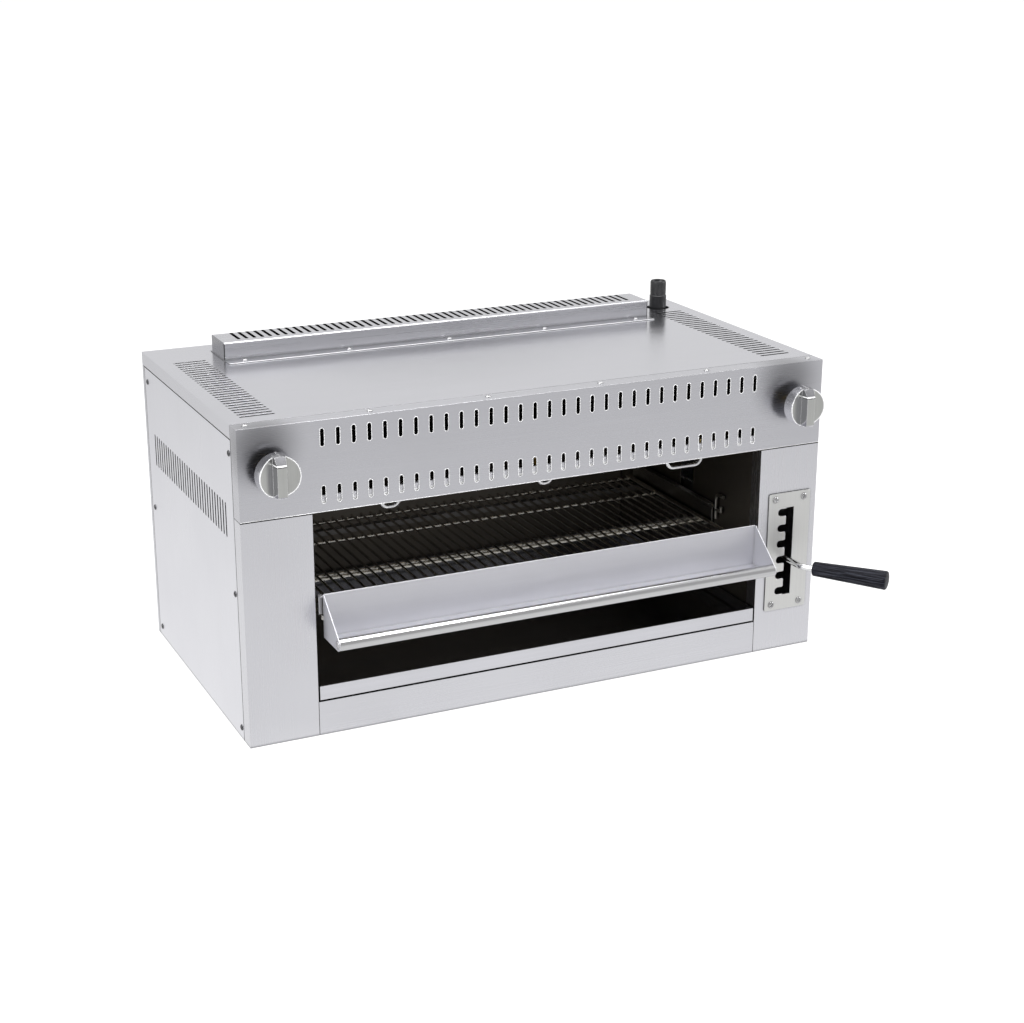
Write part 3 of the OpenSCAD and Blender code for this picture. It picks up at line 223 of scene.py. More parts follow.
placeCamera(viewSettings)
hangLamps(lampSettings)
buildWorld(studioSettings)
buildFloor(studioSettings)
buildCard(studioSettings)
bpy.context.scene.view_settings.view_transform = "Standard"
print("camera and studio ready")


# shared effects as node groups

socketKinds = {float: "NodeSocketFloat", int: "NodeSocketInt", tuple: "NodeSocketVector"}


def newGroup(name, inputs, outputs, kind="ShaderNodeTree"):
    # a starting value gives the kind of socket, or a string names it
    group = bpy.data.node_groups.new(name, kind)
    for side, sockets in (("INPUT", inputs), ("OUTPUT", outputs)):
        for label, value in sockets.items():
            named = isinstance(value, str)
            socketKind = value if named else socketKinds[type(value)]
            socket = group.interface.new_socket(label, in_out=side, socket_type=socketKind)
            if not named:
                socket.default_value = value
    return group, group.nodes.new("NodeGroupInput").outputs, group.nodes.new("NodeGroupOutput").inputs


brushSettings = {"lines": (("Stretch", 3.0, 0.65), ("Coarse", 2.0, 0.35)), "rough": 0.6}  # input, detail, share


def brushGroup(s):
    # fine parallel scratches: noise stretched along one direction
    group, gin, gout = newGroup("brushLines", {"Stretch": (6.0, 900.0, 900.0), "Coarse": (1.5, 160.0, 160.0)},
                                {"Line": "NodeSocketFloat", "Height": "NodeSocketFloat"})
    place, lines, shares = objectPlace(group), [], []
    for label, detail, share in s["lines"]:
        stretched = vectorMath(group, "MULTIPLY", place, gin[label])[0]
        lines.append(noiseFrom(group, stretched, detail=detail, rough=s["rough"]))
        shares.append(mathNode(group, "MULTIPLY", lines[-1], share))
    group.links.new(mathNode(group, "ADD", *shares), gout["Line"])
    group.links.new(lines[0], gout["Height"])
    return group


edgeHighlightSettings = {"samples": 4, "noise": 140.0, "detail": 3.0, "lift": 0.6, "gain": 3.0}


def edgeHighlightGroup(s):
    # edges are painted lighter, partly as wear and partly as a painted highlight where they catch the light: a rounded
    # normal against the flat one, broken up by noise
    group, gin, gout = newGroup("edgeWear", {"Width": 0.0012, "Amount": 1.0},
                                {"Mask": "NodeSocketFloat", "Normal": "NodeSocketVector"})
    rounded = addNode(group, "ShaderNodeBevel", {"Radius": gin["Width"]}, samples=s["samples"]).outputs[0]
    flat = group.nodes.new("ShaderNodeNewGeometry").outputs["Normal"]
    edge = mathNode(group, "SUBTRACT", 1.0, vectorMath(group, "DOT_PRODUCT", rounded, flat)["Value"], True)
    noise = noiseFrom(group, objectPlace(group), s["noise"], s["detail"])
    broken = mathNode(group, "MULTIPLY", edge, mathNode(group, "ADD", noise, s["lift"]))
    strong = mathNode(group, "MULTIPLY", broken, s["gain"])
    group.links.new(mathNode(group, "MULTIPLY", strong, gin["Amount"], True), gout["Mask"])
    group.links.new(rounded, gout["Normal"])
    return group


smudgeSettings = {"detail": 4.0, "rough": 0.55, "speckScale": 30.0, "speckDetail": 2.0, "speckRange": (0.62, 0.74)}


def smudgeGroup(s):
    # broad clouds from wiping, with a few darker spots
    group, gin, gout = newGroup("wipeMarks", {"Scale": 5.0, "Spots": 0.2},
                                {"Cloud": "NodeSocketFloat", "Spot": "NodeSocketFloat"})
    place = objectPlace(group)
    group.links.new(noiseFrom(group, place, gin["Scale"], s["detail"], s["rough"]), gout["Cloud"])
    fine = mathNode(group, "MULTIPLY", gin["Scale"], s["speckScale"])
    speck = mapRange(group, noiseFrom(group, place, fine, s["speckDetail"]), *s["speckRange"], 0.0, 1.0)
    group.links.new(mathNode(group, "MULTIPLY", speck, gin["Spots"]), gout["Spot"])
    return group


seamSettings = {"samples": 6, "reach": 0.005, "open": 0.88, "shut": 0.45}


def seamGroup(s):
    # joints, corners and the walls of slots lie in shade
    group, gin, gout = newGroup("seamShade", {"Reach": s["reach"], "Open": s["open"], "Shut": s["shut"]},
                                {"Mask": "NodeSocketFloat"})
    near = addNode(group, "ShaderNodeAmbientOcclusion", {"Distance": gin["Reach"]}, samples=s["samples"])
    group.links.new(mapRange(group, near.outputs["AO"], gin["Open"], gin["Shut"], 0.0, 1.0), gout["Mask"])
    return group


def boxGroup():
    # 1 inside a box that is mirrored across the middle of the part; it marks where shade and highlights are painted
    # into the colour
    group, gin, gout = newGroup("slotWalls", {"Low": (0.0, 0.0, 0.0), "High": (0.0, 0.0, 0.0)},
                                {"Mask": "NodeSocketFloat"})
    place, low, high = (splitUp(group, v) for v in (objectPlace(group), gin["Low"], gin["High"]))
    total = 1.0
    for axis in "XYZ":
        value = mathNode(group, "ABSOLUTE", place[axis]) if axis == "X" else place[axis]
        above = mathNode(group, "GREATER_THAN", value, low[axis])
        below = mathNode(group, "LESS_THAN", value, high[axis])
        total = mathNode(group, "MULTIPLY", total, mathNode(group, "MULTIPLY", above, below))
    group.links.new(total, gout["Mask"])
    return group


brushLines = brushGroup(brushSettings)
seamShade = seamGroup(seamSettings)
slotWalls = boxGroup()
edgeWear = edgeHighlightGroup(edgeHighlightSettings)
wipeMarks = smudgeGroup(smudgeSettings)


def placeGroup(tree, group, **values):
    return addNode(tree, "ShaderNodeGroup", values, node_tree=group).outputs


def ramp(tree, fac, low, high, lowColour, highColour):
    n = addNode(tree, "ShaderNodeValToRGB", {"Fac": fac})
    for element, place, colour in zip(n.color_ramp.elements, (low, high), (lowColour, highColour)):
        element.position, element.color = place, (*colour, 1.0)
    return n.outputs["Color"]


def mixColour(tree, fac, a, b):
    a, b = ((*v, 1.0) if isinstance(v, tuple) else v for v in (a, b))
    return addNode(tree, "ShaderNodeMix", {0: fac, 6: a, 7: b}, data_type="RGBA").outputs[2]


def bumpFrom(tree, height, s, normal=None):
    values = {"Strength": s["bump"], "Distance": s["bumpDepth"], "Height": height, "Normal": normal}
    return addNode(tree, "ShaderNodeBump", values).outputs[0]


def closeMaterial(tree, out, colour, rough, normal, metal=0.0, specular=0.5):
    skin = addNode(tree, "ShaderNodeBsdfPrincipled", {
        "Base Color": colour, "Roughness": rough, "Normal": normal, "Metallic": metal, "Specular IOR Level": specular})
    tree.links.new(skin.outputs[0], out.inputs["Surface"])


def commonMarks(tree, s):
    # edges painted lighter, as wear and as a painted highlight, and wiping clouds, which every metal has
    return (placeGroup(tree, edgeWear, Width=s["edge"], Amount=s["wearHighlight"]),
            placeGroup(tree, wipeMarks, Scale=s["clouds"], Spots=s["spots"]))


def shade(colour, factor):
    return tuple(v * factor for v in colour)


def brighten(colour, factor):
    return tuple(min(1.0, v * factor) for v in colour)


usual = (0.3, 0.7)  # a noise value mostly lies between these


def clouds(tree, marks, toLow, toHigh, start=usual[0]):
    return mapRange(tree, marks["Cloud"], start, usual[1], toLow, toHigh)


def beyond(tree, axis, colour, edge, reach, other):
    # another colour beyond an edge along one axis, blended over a short reach
    place = splitUp(tree, objectPlace(tree))[axis]
    return mixColour(tree, mapRange(tree, place, edge, edge + reach, 0.0, 1.0), colour, other)


# what a brushed sheet has unless its own line says otherwise
brushedSheet = {
    "brushes": {"x": (4.0, 1100.0, 1100.0), "y": (1100.0, 4.0, 1100.0), "z": (1100.0, 1100.0, 4.0)}, "brush": "x",
    "coarse": 0.16, "coarseAlong": 0.5,  # second, wider set of lines against the first
    "depth": 0.07, "crest": 0.6,  # how dark a scratch is, and how light its crest against that
    "edge": 0.0009, "wearHighlight": 0.5, "clouds": 4.0, "cloudStart": 0.35, "cloudy": 0.12, "cloudShade": 0.82, "spots": 0.0,
    "spotShade": 0.45, "wornEdgeHighlight": (0.9, 0.9, 0.92), "seam": 0.95, "seamShade": 0.03, "slots": (), "paintedShades": (),
    "metal": 1.0, "cloudRough": (-0.03, 0.04), "bump": 0.12, "bumpDepth": 0.0002,
}


def brushedMetal(name, own):
    s = {**brushedSheet, **own}
    mat, tree, out = emptyMaterial(name)
    along = s["brushes"][s["brush"]]
    wide = tuple(v * (s["coarse"] if v == max(along) else s["coarseAlong"]) for v in along)
    lines = placeGroup(tree, brushLines, Stretch=along, Coarse=wide)
    wearHighlight, marks = commonMarks(tree, s)
    c, depth = s["colour"], s["depth"]
    base = ramp(tree, lines["Line"], *usual, shade(c, 1 - depth), shade(c, 1 + depth * s["crest"]))
    cloudy = mixColour(tree, clouds(tree, marks, 0.0, s["cloudy"], s["cloudStart"]), base, shade(c, s["cloudShade"]))
    spotted = mixColour(tree, marks["Spot"], cloudy, shade(c, s["spotShade"]))
    # edges lighter: wear and painted highlight
    edgeLitWorn = mixColour(tree, wearHighlight["Mask"], spotted, s["wornEdgeHighlight"])
    # painted shade: the tray is darker inside the cabinet
    if "inside" in s:  # darker behind this depth
        edgeLitWorn = beyond(tree, "Y", edgeLitWorn, *s["inside"])
    # painted shade: occlusion darkens joints, corners and slot walls, then shade boxes and dark spots add more, all
    # towards seamShade
    shut = mathNode(tree, "MULTIPLY", placeGroup(tree, seamShade)["Mask"], s["seam"])
    # painted shade in boxes: the walls of slots and the riser's inside and ends
    for low, high, amount in s["slots"]:
        walls = placeGroup(tree, slotWalls, Low=low, High=high)["Mask"]
        shut = mathNode(tree, "MAXIMUM", shut, mathNode(tree, "MULTIPLY", walls, amount))
    # painted shadow and reflection: soft dark spots round given centres
    for centre, inner, outer, amount in s["paintedShades"]:
        away = vectorMath(tree, "DISTANCE", objectPlace(tree), centre)["Value"]
        paintedShadeSpot = mapRange(tree, away, inner, outer, amount, 0.0)
        paintedShadeSpot.node.interpolation_type = "SMOOTHSTEP"
        shut = mathNode(tree, "MAXIMUM", shut, paintedShadeSpot)
    rough = mapRange(tree, lines["Line"], *usual, *s["rough"])
    rough = mathNode(tree, "ADD", rough, clouds(tree, marks, *s["cloudRough"]))
    closeMaterial(tree, out, mixColour(tree, shut, edgeLitWorn, shade(c, s["seamShade"])), rough,
                  bumpFrom(tree, lines["Height"], s, wearHighlight["Normal"]), s["metal"])
    return mat


# what a smooth casting, wire or pipe has unless its own line says otherwise
smoothMetal = {
    "edge": 0.0006, "wearHighlight": 0.3, "edgeGain": 1.4, "clouds": 30.0, "cloudStart": 0.35, "cloudy": 0.35,
    "stainShade": 0.7, "spots": 0.1, "spotShade": 0.4, "metal": 1.0, "grain": 900.0, "grainDetail": 3.0,
    "bump": 0.05, "bumpDepth": 0.0002,
}


def plainMetal(name, own):
    # smooth metal with faint clouds and handling marks
    s = {**smoothMetal, **own}
    mat, tree, out = emptyMaterial(name)
    wearHighlight, marks = commonMarks(tree, s)
    c = s["colour"]
    stain = s.get("stain", shade(c, s["stainShade"]))
    base = mixColour(tree, clouds(tree, marks, 0.0, s["cloudy"], s["cloudStart"]), c, stain)
    spotted = mixColour(tree, marks["Spot"], base, shade(c, s["spotShade"]))
    # painted shade on the strip's upper part
    if "upper" in s:  # another colour above this height
        spotted = beyond(tree, "Z", spotted, *s["upper"])
    # edges lighter: wear and painted highlight
    wornEdgeHighlight = s.get("wornEdgeHighlight", brighten(c, s["edgeGain"]))
    grain = noiseFrom(tree, objectPlace(tree), s["grain"], s["grainDetail"])
    closeMaterial(tree, out, mixColour(tree, wearHighlight["Mask"], spotted, wornEdgeHighlight), clouds(tree, marks, *s["rough"]),
                  bumpFrom(tree, grain, s, wearHighlight["Normal"]), s["metal"])
    return mat


outerSheet = {"depth": 0.04, "bump": 0.05, "wearHighlight": 0.6}
# the cabinet's panels are one brushed stainless; their base colours differ as painted light, lighter where a panel
# stands in more light and darker where it stands in less
steelSettings = {
    # paintedShades: painted shadow and reflection as soft dark spots, the knobs' on the fascia and the riser's on the
    # top; centre, inner and outer reach, amount. slots: painted shade inside a box; two corners, amount
    "panelSteel": {**outerSheet, "colour": (0.61, 0.61, 0.645), "rough": (0.24, 0.32),
                   "paintedShades": (((-0.425, -0.239, 0.429), 0.012, 0.072, 0.60),
                             ((0.395, -0.239, 0.429), 0.012, 0.072, 0.55))},
    "lowerSteel": {**outerSheet, "colour": (0.69, 0.69, 0.725), "rough": (0.22, 0.30)},
    "sideSteel": {**outerSheet, "colour": (0.80, 0.80, 0.84), "rough": (0.26, 0.36), "brush": "z", "wearHighlight": 0.4,
                  "edge": 0.0004, "cloudy": 0.2, "slots": (((0.4545, -0.19, 0.285), (0.45693, 0.2, 0.345), 1.0),)},
    "topSteel": {**outerSheet, "colour": (0.68, 0.68, 0.72), "rough": (0.17, 0.25), "wearHighlight": 0.4, "edge": 0.0004,
                 "seam": 0.97, "paintedShades": (((-0.05, 0.16, 0.457), 0.08, 0.36, 0.17),),
                 "slots": (((0.375, -0.2, 0.4545), (0.446, 0.16, 0.45693), 1.0),)},
    "postSteel": {**outerSheet, "colour": (0.70, 0.70, 0.735), "rough": (0.22, 0.30), "brush": "z", "depth": 0.025},
    "riserSteel": {"colour": (0.61, 0.61, 0.64), "rough": (0.24, 0.34), "depth": 0.05, "bump": 0.06,
                   "wearHighlight": 0.0, "edge": 0.0002, "seam": 0.5,
                   # painted shade: inside under the top, inside behind the front and rear walls, both end faces
                   "slots": (((-0.1, 0.1312, 0.4575), (0.3594, 0.1878, 0.48443), 1.0),
                             ((-0.1, 0.1287, 0.4575), (0.3594, 0.1903, 0.4812), 1.0),
                             ((0.3597, 0.12, 0.4575), (0.362, 0.195, 0.486), 0.5),
                             ((0.3588, 0.127, 0.4583), (0.361, 0.1302, 0.4825), 0.96))},
    # near white: a painted highlight on the slot rims and hems
    "rimSteel": {"colour": (0.93, 0.93, 0.94), "rough": (0.2, 0.3), "bump": 0.02, "wearHighlight": 0.0,
                 "seam": 0.0, "metal": 0.3},
    "troughSteel": {"colour": (0.68, 0.68, 0.715), "rough": (0.46, 0.56), "depth": 0.04, "bump": 0.06,
                    "wearHighlight": 0.8, "seam": 0.25},
    # the tray's inside is painted shade inside the cabinet
    "traySteel": {"colour": (0.68, 0.68, 0.72), "rough": (0.13, 0.22), "bump": 0.06, "wearHighlight": 0.6,
                  "cloudy": 0.3, "inside": (-0.2375, 0.004, (0.35, 0.35, 0.37))},
    "plateSteel": {"colour": (0.70, 0.70, 0.69), "rough": (0.26, 0.38), "brush": "z", "bump": 0.12, "wearHighlight": 0.9},
    "railSteel": {"colour": (0.32, 0.31, 0.29), "rough": (0.25, 0.40), "brush": "y", "bump": 0.10, "wearHighlight": 0.8,
                  "cloudy": 0.4},
    "tubeSteel": {"colour": (0.60, 0.60, 0.61), "rough": (0.10, 0.17), "bump": 0.03, "wearHighlight": 0.0,
                  "coarse": 0.08, "seam": 0.6},
    "wireSteel": {"colour": (0.68, 0.66, 0.61), "rough": (0.14, 0.26), "brush": "y", "bump": 0.03, "wearHighlight": 0.0,
                  "cloudy": 0.3, "seam": 0.4},
    # near black: painted shade on the flue baffle inside the riser, on the riser's slot rims and in the joint lines
    "sootSteel": {"colour": (0.02, 0.019, 0.018), "rough": (0.5, 0.7), "bump": 0.15, "wearHighlight": 0.0,
                  "metal": 0.6},
    "linerSteel": {"colour": (0.15, 0.135, 0.115), "rough": (0.32, 0.5), "bump": 0.15, "wearHighlight": 0.4,
                   "cloudy": 0.6, "wornEdgeHighlight": (0.25, 0.24, 0.22), "metal": 0.9},
}
metalSettings = {
    "chromeMetal": {"colour": (0.78, 0.785, 0.79), "rough": (0.07, 0.14), "bump": 0.02, "cloudy": 0.15},
    "screwMetal": {"colour": (0.46, 0.46, 0.465), "rough": (0.10, 0.22), "wearHighlight": 0.9, "wornEdgeHighlight": (0.85, 0.85, 0.86)},
    "darkScrew": {"colour": (0.12, 0.12, 0.125), "rough": (0.10, 0.22)},
    "brassMetal": {"colour": (0.62, 0.46, 0.18), "rough": (0.2, 0.38), "stain": (0.38, 0.25, 0.1)},
    "tubeAlloy": {"colour": (0.78, 0.78, 0.79), "rough": (0.2, 0.34), "bump": 0.04},
    "blackPipe": {"colour": (0.022, 0.022, 0.024), "rough": (0.3, 0.5), "metal": 0.35, "bump": 0.25, "grain": 500.0,
                  "wornEdgeHighlight": (0.16, 0.16, 0.16), "wearHighlight": 0.9},
    "linkSteel": {"colour": (0.16, 0.155, 0.15), "rough": (0.34, 0.5), "bump": 0.12, "wearHighlight": 0.8,
                  "wornEdgeHighlight": (0.4, 0.4, 0.4)},
    "burnerIron": {"colour": (0.07, 0.062, 0.056), "rough": (0.5, 0.75), "metal": 0.7, "stain": (0.12, 0.06, 0.03),
                   "bump": 0.3, "grain": 350.0},
    "galvanised": {"colour": (0.45, 0.46, 0.47), "rough": (0.35, 0.5), "clouds": 60.0, "cloudy": 0.6},
    # near white as painted light on the lip behind the lower slots; darker above 342.5 mm as painted shade
    "fibreWhite": {"colour": (0.92, 0.92, 0.92), "rough": (0.8, 0.95), "metal": 0.0, "clouds": 60.0, "cloudy": 0.2,
                   "bump": 0.4, "wearHighlight": 0.0, "upper": (0.3425, 0.001, (0.50, 0.50, 0.53))},
}

finish = {name: brushedMetal(name, s) for name, s in steelSettings.items()}
finish.update({name: plainMetal(name, s) for name, s in metalSettings.items()})

knobSettings = {
    "satin": (0.54, 0.545, 0.53), "satinRough": (0.26, 0.36), "streak": (0.9, 1.06), "cloudy": 0.25, "cloudShade": 0.8,
    "brush": (1100.0, 1100.0, 4.0), "coarse": (180.0, 180.0, 2.0), "clouds": 30.0, "cloudStart": 0.35, "spots": 0.15,
    "chrome": (0.82, 0.82, 0.85), "chromeRough": 0.16, "barSideShade": (0.43, 0.43, 0.46), "back": (0.50, 0.50, 0.52),
    "edge": 0.0009, "wearHighlight": 1.0, "bump": 0.06, "bumpDepth": 0.0002,
    # how far a face has to turn to count as front and as back
    "frontFacing": (-0.93, -0.86), "backFacing": (0.3, 0.6),
    # the pointer's slope, darker as a painted reflection; its lower lip, a painted highlight; and the line under it in
    # painted shade
    "slope": ((0.4015, -0.2850, 0.4125), (0.4185, -0.2660, 0.4290)),
    "slopeShade": (0.20, 0.20, 0.21), "slopeRough": 0.55,
    "lip": ((0.4015, -0.2850, 0.4125), (0.4185, -0.2700, 0.4144)),
    "line": ((0.4015, -0.2850, 0.4112), (0.4185, -0.2700, 0.4125)), "shadeLineColour": (0.12, 0.12, 0.12),
    # a painted highlight: a bright ring where the face turns over to the side
    "axis": (0.410, 0.0, 0.396), "rim": (0.0272, 0.0278), "rimFacing": (-0.6, -0.35), "rimHighlightColour": (0.93, 0.93, 0.94),
    "highlightMetal": 0.2,
}


def knobMetal(name, s):
    # satin front faces, bar sides in painted shade, painted highlights on the rim and lip, a pointer slope darker as
    # painted reflection, plain back
    mat, tree, out = emptyMaterial(name)
    facing = splitUp(tree, tree.nodes.new("ShaderNodeNewGeometry").outputs["Normal"])["Y"]
    front = mapRange(tree, facing, *s["frontFacing"], 1.0, 0.0)
    lines = placeGroup(tree, brushLines, Stretch=s["brush"], Coarse=s["coarse"])
    wearHighlight, marks = commonMarks(tree, s)
    satin = ramp(tree, lines["Line"], *usual, *(shade(s["satin"], v) for v in s["streak"]))
    wiped = clouds(tree, marks, 0.0, s["cloudy"], s["cloudStart"])
    satin = mixColour(tree, wiped, satin, shade(s["satin"], s["cloudShade"]))
    place = splitUp(tree, objectPlace(tree))
    across = mathNode(tree, "SUBTRACT", mathNode(tree, "ABSOLUTE", place["X"]), s["axis"][0])
    up = mathNode(tree, "SUBTRACT", place["Z"], s["axis"][2])
    squares = mathNode(tree, "ADD", mathNode(tree, "MULTIPLY", across, across), mathNode(tree, "MULTIPLY", up, up))
    outer = mapRange(tree, mathNode(tree, "SQRT", squares), *s["rim"], 0.0, 1.0)
    # bar sides darker as painted shade
    colour = mixColour(tree, front, mixColour(tree, outer, s["barSideShade"], s["chrome"]), satin)
    slope, lip, line = (placeGroup(tree, slotWalls, Low=low, High=high)["Mask"]
                        for low, high in (s["slope"], s["lip"], s["line"]))
    # painted reflection: the pointer's slope darker; painted shade: the line under its lip
    colour = mixColour(tree, slope, colour, s["slopeShade"])
    colour = mixColour(tree, line, colour, s["shadeLineColour"])
    # painted highlight: the rim ring, the pointer's lip and the edges
    ring = mathNode(tree, "MULTIPLY", outer, mapRange(tree, facing, *s["rimFacing"], 1.0, 0.0))
    ring = mathNode(tree, "SUBTRACT", ring, slope, True)
    bright = mathNode(tree, "MAXIMUM", mathNode(tree, "MAXIMUM", ring, lip), wearHighlight["Mask"])
    colour = mixColour(tree, bright, colour, s["rimHighlightColour"])
    colour = mixColour(tree, mapRange(tree, facing, *s["backFacing"], 0.0, 1.0), colour, s["back"])
    satinRough = mathNode(tree, "MULTIPLY", front, clouds(tree, marks, *s["satinRough"]))
    rough = mathNode(tree, "ADD", satinRough, mapRange(tree, front, 0.0, 1.0, s["chromeRough"], 0.0))
    rough = mathNode(tree, "MAXIMUM", rough, mathNode(tree, "MULTIPLY", slope, s["slopeRough"]))
    closeMaterial(tree, out, colour, rough, bumpFrom(tree, lines["Height"], s, wearHighlight["Normal"]),
                  mapRange(tree, bright, 0.0, 1.0, 1.0, s["highlightMetal"]))
    return mat


tileSettings = {
    "holes": 420.0, "holeRange": (0.16, 0.3), "holeColour": (0.10, 0.07, 0.05), "clouds": 22.0, "spots": 0.3,
    "pale": (0.80, 0.73, 0.60), "scorched": (0.62, 0.52, 0.40), "rough": 0.9, "bump": -0.6, "bumpDepth": 0.0008,
}


def ceramicTile(name, s):
    # pale ceramic with rows of fine gas holes
    mat, tree, out = emptyMaterial(name)
    holes = addNode(tree, "ShaderNodeTexVoronoi", {"Scale": s["holes"], "Randomness": 0.0, "Vector": objectPlace(tree)})
    dark = mapRange(tree, holes.outputs["Distance"], *s["holeRange"], 1.0, 0.0)
    marks = placeGroup(tree, wipeMarks, Scale=s["clouds"], Spots=s["spots"])
    body = mixColour(tree, marks["Cloud"], s["pale"], s["scorched"])
    closeMaterial(tree, out, mixColour(tree, dark, body, s["holeColour"]), s["rough"], bumpFrom(tree, dark, s))
    return mat


plasticSettings = {
    "stretch": (70.0, 2.2, 1.0), "detail": 4.0, "streakRange": (0.48, 0.60), "dark": (0.003, 0.003, 0.006),
    "light": (0.034, 0.036, 0.048), "edge": 0.0008, "wearHighlight": 0.7, "wornEdgeHighlight": (0.07, 0.07, 0.075), "clouds": 60.0,
    "spots": 0.2, "specular": 0.10, "rough": (0.3, 0.46), "bump": 0.12, "bumpDepth": 0.0004,
}


def gripPlastic(name, s):
    # hard black plastic, streaked along the grip and dulled by hands
    mat, tree, out = emptyMaterial(name)
    along = tree.nodes.new("ShaderNodeUVMap").outputs[0]
    streak = noiseFrom(tree, vectorMath(tree, "MULTIPLY", along, s["stretch"])[0], detail=s["detail"])
    wearHighlight, marks = commonMarks(tree, s)
    base = ramp(tree, streak, *s["streakRange"], s["dark"], s["light"])
    closeMaterial(tree, out, mixColour(tree, wearHighlight["Mask"], base, s["wornEdgeHighlight"]), clouds(tree, marks, *s["rough"]),
                  bumpFrom(tree, streak, s, wearHighlight["Normal"]), specular=s["specular"])
    return mat


finish["knobMetal"] = knobMetal("knobMetal", knobSettings)
finish["ceramicTile"] = ceramicTile("ceramicTile", tileSettings)
finish["gripPlastic"] = gripPlastic("gripPlastic", plasticSettings)
print("materials made:", len(finish))

nodeFinish = {
    "panelSteel": ["control_fascia", "back_panel"],
    "lowerSteel": ["lower_front_panel"],
    "sideSteel": ["side_panel_left", "side_panel_right"],
    "topSteel": ["top_cover"],
    "postSteel": ["pillar_left", "pillar_right"],
    "riserSteel": ["flue_riser"],
    "troughSteel": ["rack_trough"],
    "traySteel": ["drip_tray"],
    "plateSteel": ["notch_plate"],
    "railSteel": ["carriage_rails"],
    "tubeSteel": ["rack_handle"],
    "wireSteel": ["rack_grid"],
    "linerSteel": ["liner_left", "liner_right", "rear_liner", "heat_shield", "burner_deck", "tray_runners"],
    # the flue baffle is near black as painted shade
    "sootSteel": ["flue_baffle"],
    "knobMetal": ["knob_left", "knob_right"],
    "chromeMetal": ["lever_rod", "lift_spring"],
    "screwMetal": ["notch_plate_screws", "top_screws", "side_screws"],
    "brassMetal": ["valve_left", "valve_right", "burner_orifices", "pilot_valve", "pilot_burners", "shaft_bushes",
                   "stem_left", "stem_right"],
    "tubeAlloy": ["mixing_tubes", "burner_feed_tubes", "pilot_tubes"],
    "blackPipe": ["gas_manifold", "supply_pipe", "pipe_elbows", "gas_inlet"],
    "linkSteel": ["lift_shaft", "lift_arms", "lever_hub", "carriage_plates", "carriage_frame", "stabiliser_links"],
    "burnerIron": ["burner_left", "burner_right", "burner_screens"],
    "galvanised": ["base_pan", "corner_posts", "shaft_brackets", "spring_anchor", "leg_nuts"],
    "ceramicTile": ["burner_tiles"],
    "gripPlastic": ["lever_grip"],
}
for label, names in nodeFinish.items():
    for name in names:
        mats = nodes[name].data.materials
        mats.clear()
        mats.append(finish[label])
print("nodes dressed:", sum(len(v) for v in nodeFinish.values()))


# how pieces are made, and what finish and body they take

bodyOf = {n: b for b, names in frame["record"]["behaviour"]["bodies"].items() for n in names}


def newObject(name, mesh):
    obj = bpy.data.objects.new(name, mesh)
    bpy.context.collection.objects.link(obj)
    return obj


def dress(obj, material, node, replaced=False):
    # the piece takes its finish, and its body from a CAD node, and may stand for it
    obj.data.materials.clear()
    obj.data.materials.append(finish[material])
    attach(obj, bodyOf[node])
    if replaced:
        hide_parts(node)


def meshFrom(name, verts, faces, smooth=True, angle=40):
    mesh = bpy.data.meshes.new(name)
    mesh.from_pydata([tuple(v) for v in verts], [], faces)
    bm = bmesh.new()
    bm.from_mesh(mesh)
    bmesh.ops.recalc_face_normals(bm, faces=bm.faces)
    bm.to_mesh(mesh)
    bm.free()
    if smooth:
        mesh.shade_smooth()
        mesh.set_sharp_from_angle(angle=math.radians(angle))
    return mesh


def ringFaces(rows, around):
    # quads between neighbouring rings of vertices
    faces = []
    for j in range(rows - 1):
        for k in range(around):
            n = (k + 1) % around
            faces.append((j * around + k, j * around + n, (j + 1) * around + n, (j + 1) * around + k))
    return faces


def capFaces(first, around, centre, flip=False):
    # a fan between one ring and its middle
    pairs = [(first + k, first + (k + 1) % around) for k in range(around)]
    return [(b, a, centre) if flip else (a, b, centre) for a, b in pairs]


def closedRings(rows, around):
    # a closed skin; the middles of its two end fans come after all the rings
    ends = rows * around
    return ringFaces(rows, around) + capFaces(0, around, ends, flip=True) + capFaces(ends - around, around, ends + 1)


def bevelled(node, name, width, segments=3, limit=30, flat=0.5):
    # a node's shape with its edges rounded; nearly flat neighbours are joined first
    mesh = nodes[node].data.copy()
    mesh.name = name
    bm = bmesh.new()
    bm.from_mesh(mesh)
    bmesh.ops.remove_doubles(bm, verts=bm.verts, dist=2e-6)
    bmesh.ops.dissolve_limit(bm, angle_limit=math.radians(flat), verts=bm.verts, edges=bm.edges)
    bm.to_mesh(mesh)
    bm.free()
    mesh.shade_smooth()
    mesh.set_sharp_from_angle(angle=math.radians(limit))
    obj = newObject(name, mesh)
    cut = obj.modifiers.new("edges", "BEVEL")
    cut.width = width
    cut.segments = segments
    cut.limit_method = "ANGLE"
    cut.angle_limit = math.radians(limit)
    cut.harden_normals = True
    return obj


def bakeModifiers(obj):
    deps = bpy.context.evaluated_depsgraph_get()
    mesh = bpy.data.meshes.new_from_object(obj.evaluated_get(deps))
    mesh.name = obj.data.name + "Plain"
    obj.modifiers.clear()
    obj.data = mesh
    return obj


# Geometry Nodes for what repeats

def growTree(name, inputs):
    geometry = {"Geometry": "NodeSocketGeometry"}
    return newGroup(name, {**geometry, **inputs, "Material": "NodeSocketMaterial"}, geometry, "GeometryNodeTree")


def finishTree(tree, gin, gout, instance, **turned):
    # the instance on every point, made real and given its material
    put = addNode(tree, "GeometryNodeInstanceOnPoints", {"Points": gin["Geometry"], "Instance": instance, **turned})
    real = addNode(tree, "GeometryNodeRealizeInstances", {0: put.outputs[0]})
    paint = addNode(tree, "GeometryNodeSetMaterial", {"Geometry": real.outputs[0], "Material": gin["Material"]})
    tree.links.new(paint.outputs[0], gout[0])
    return tree


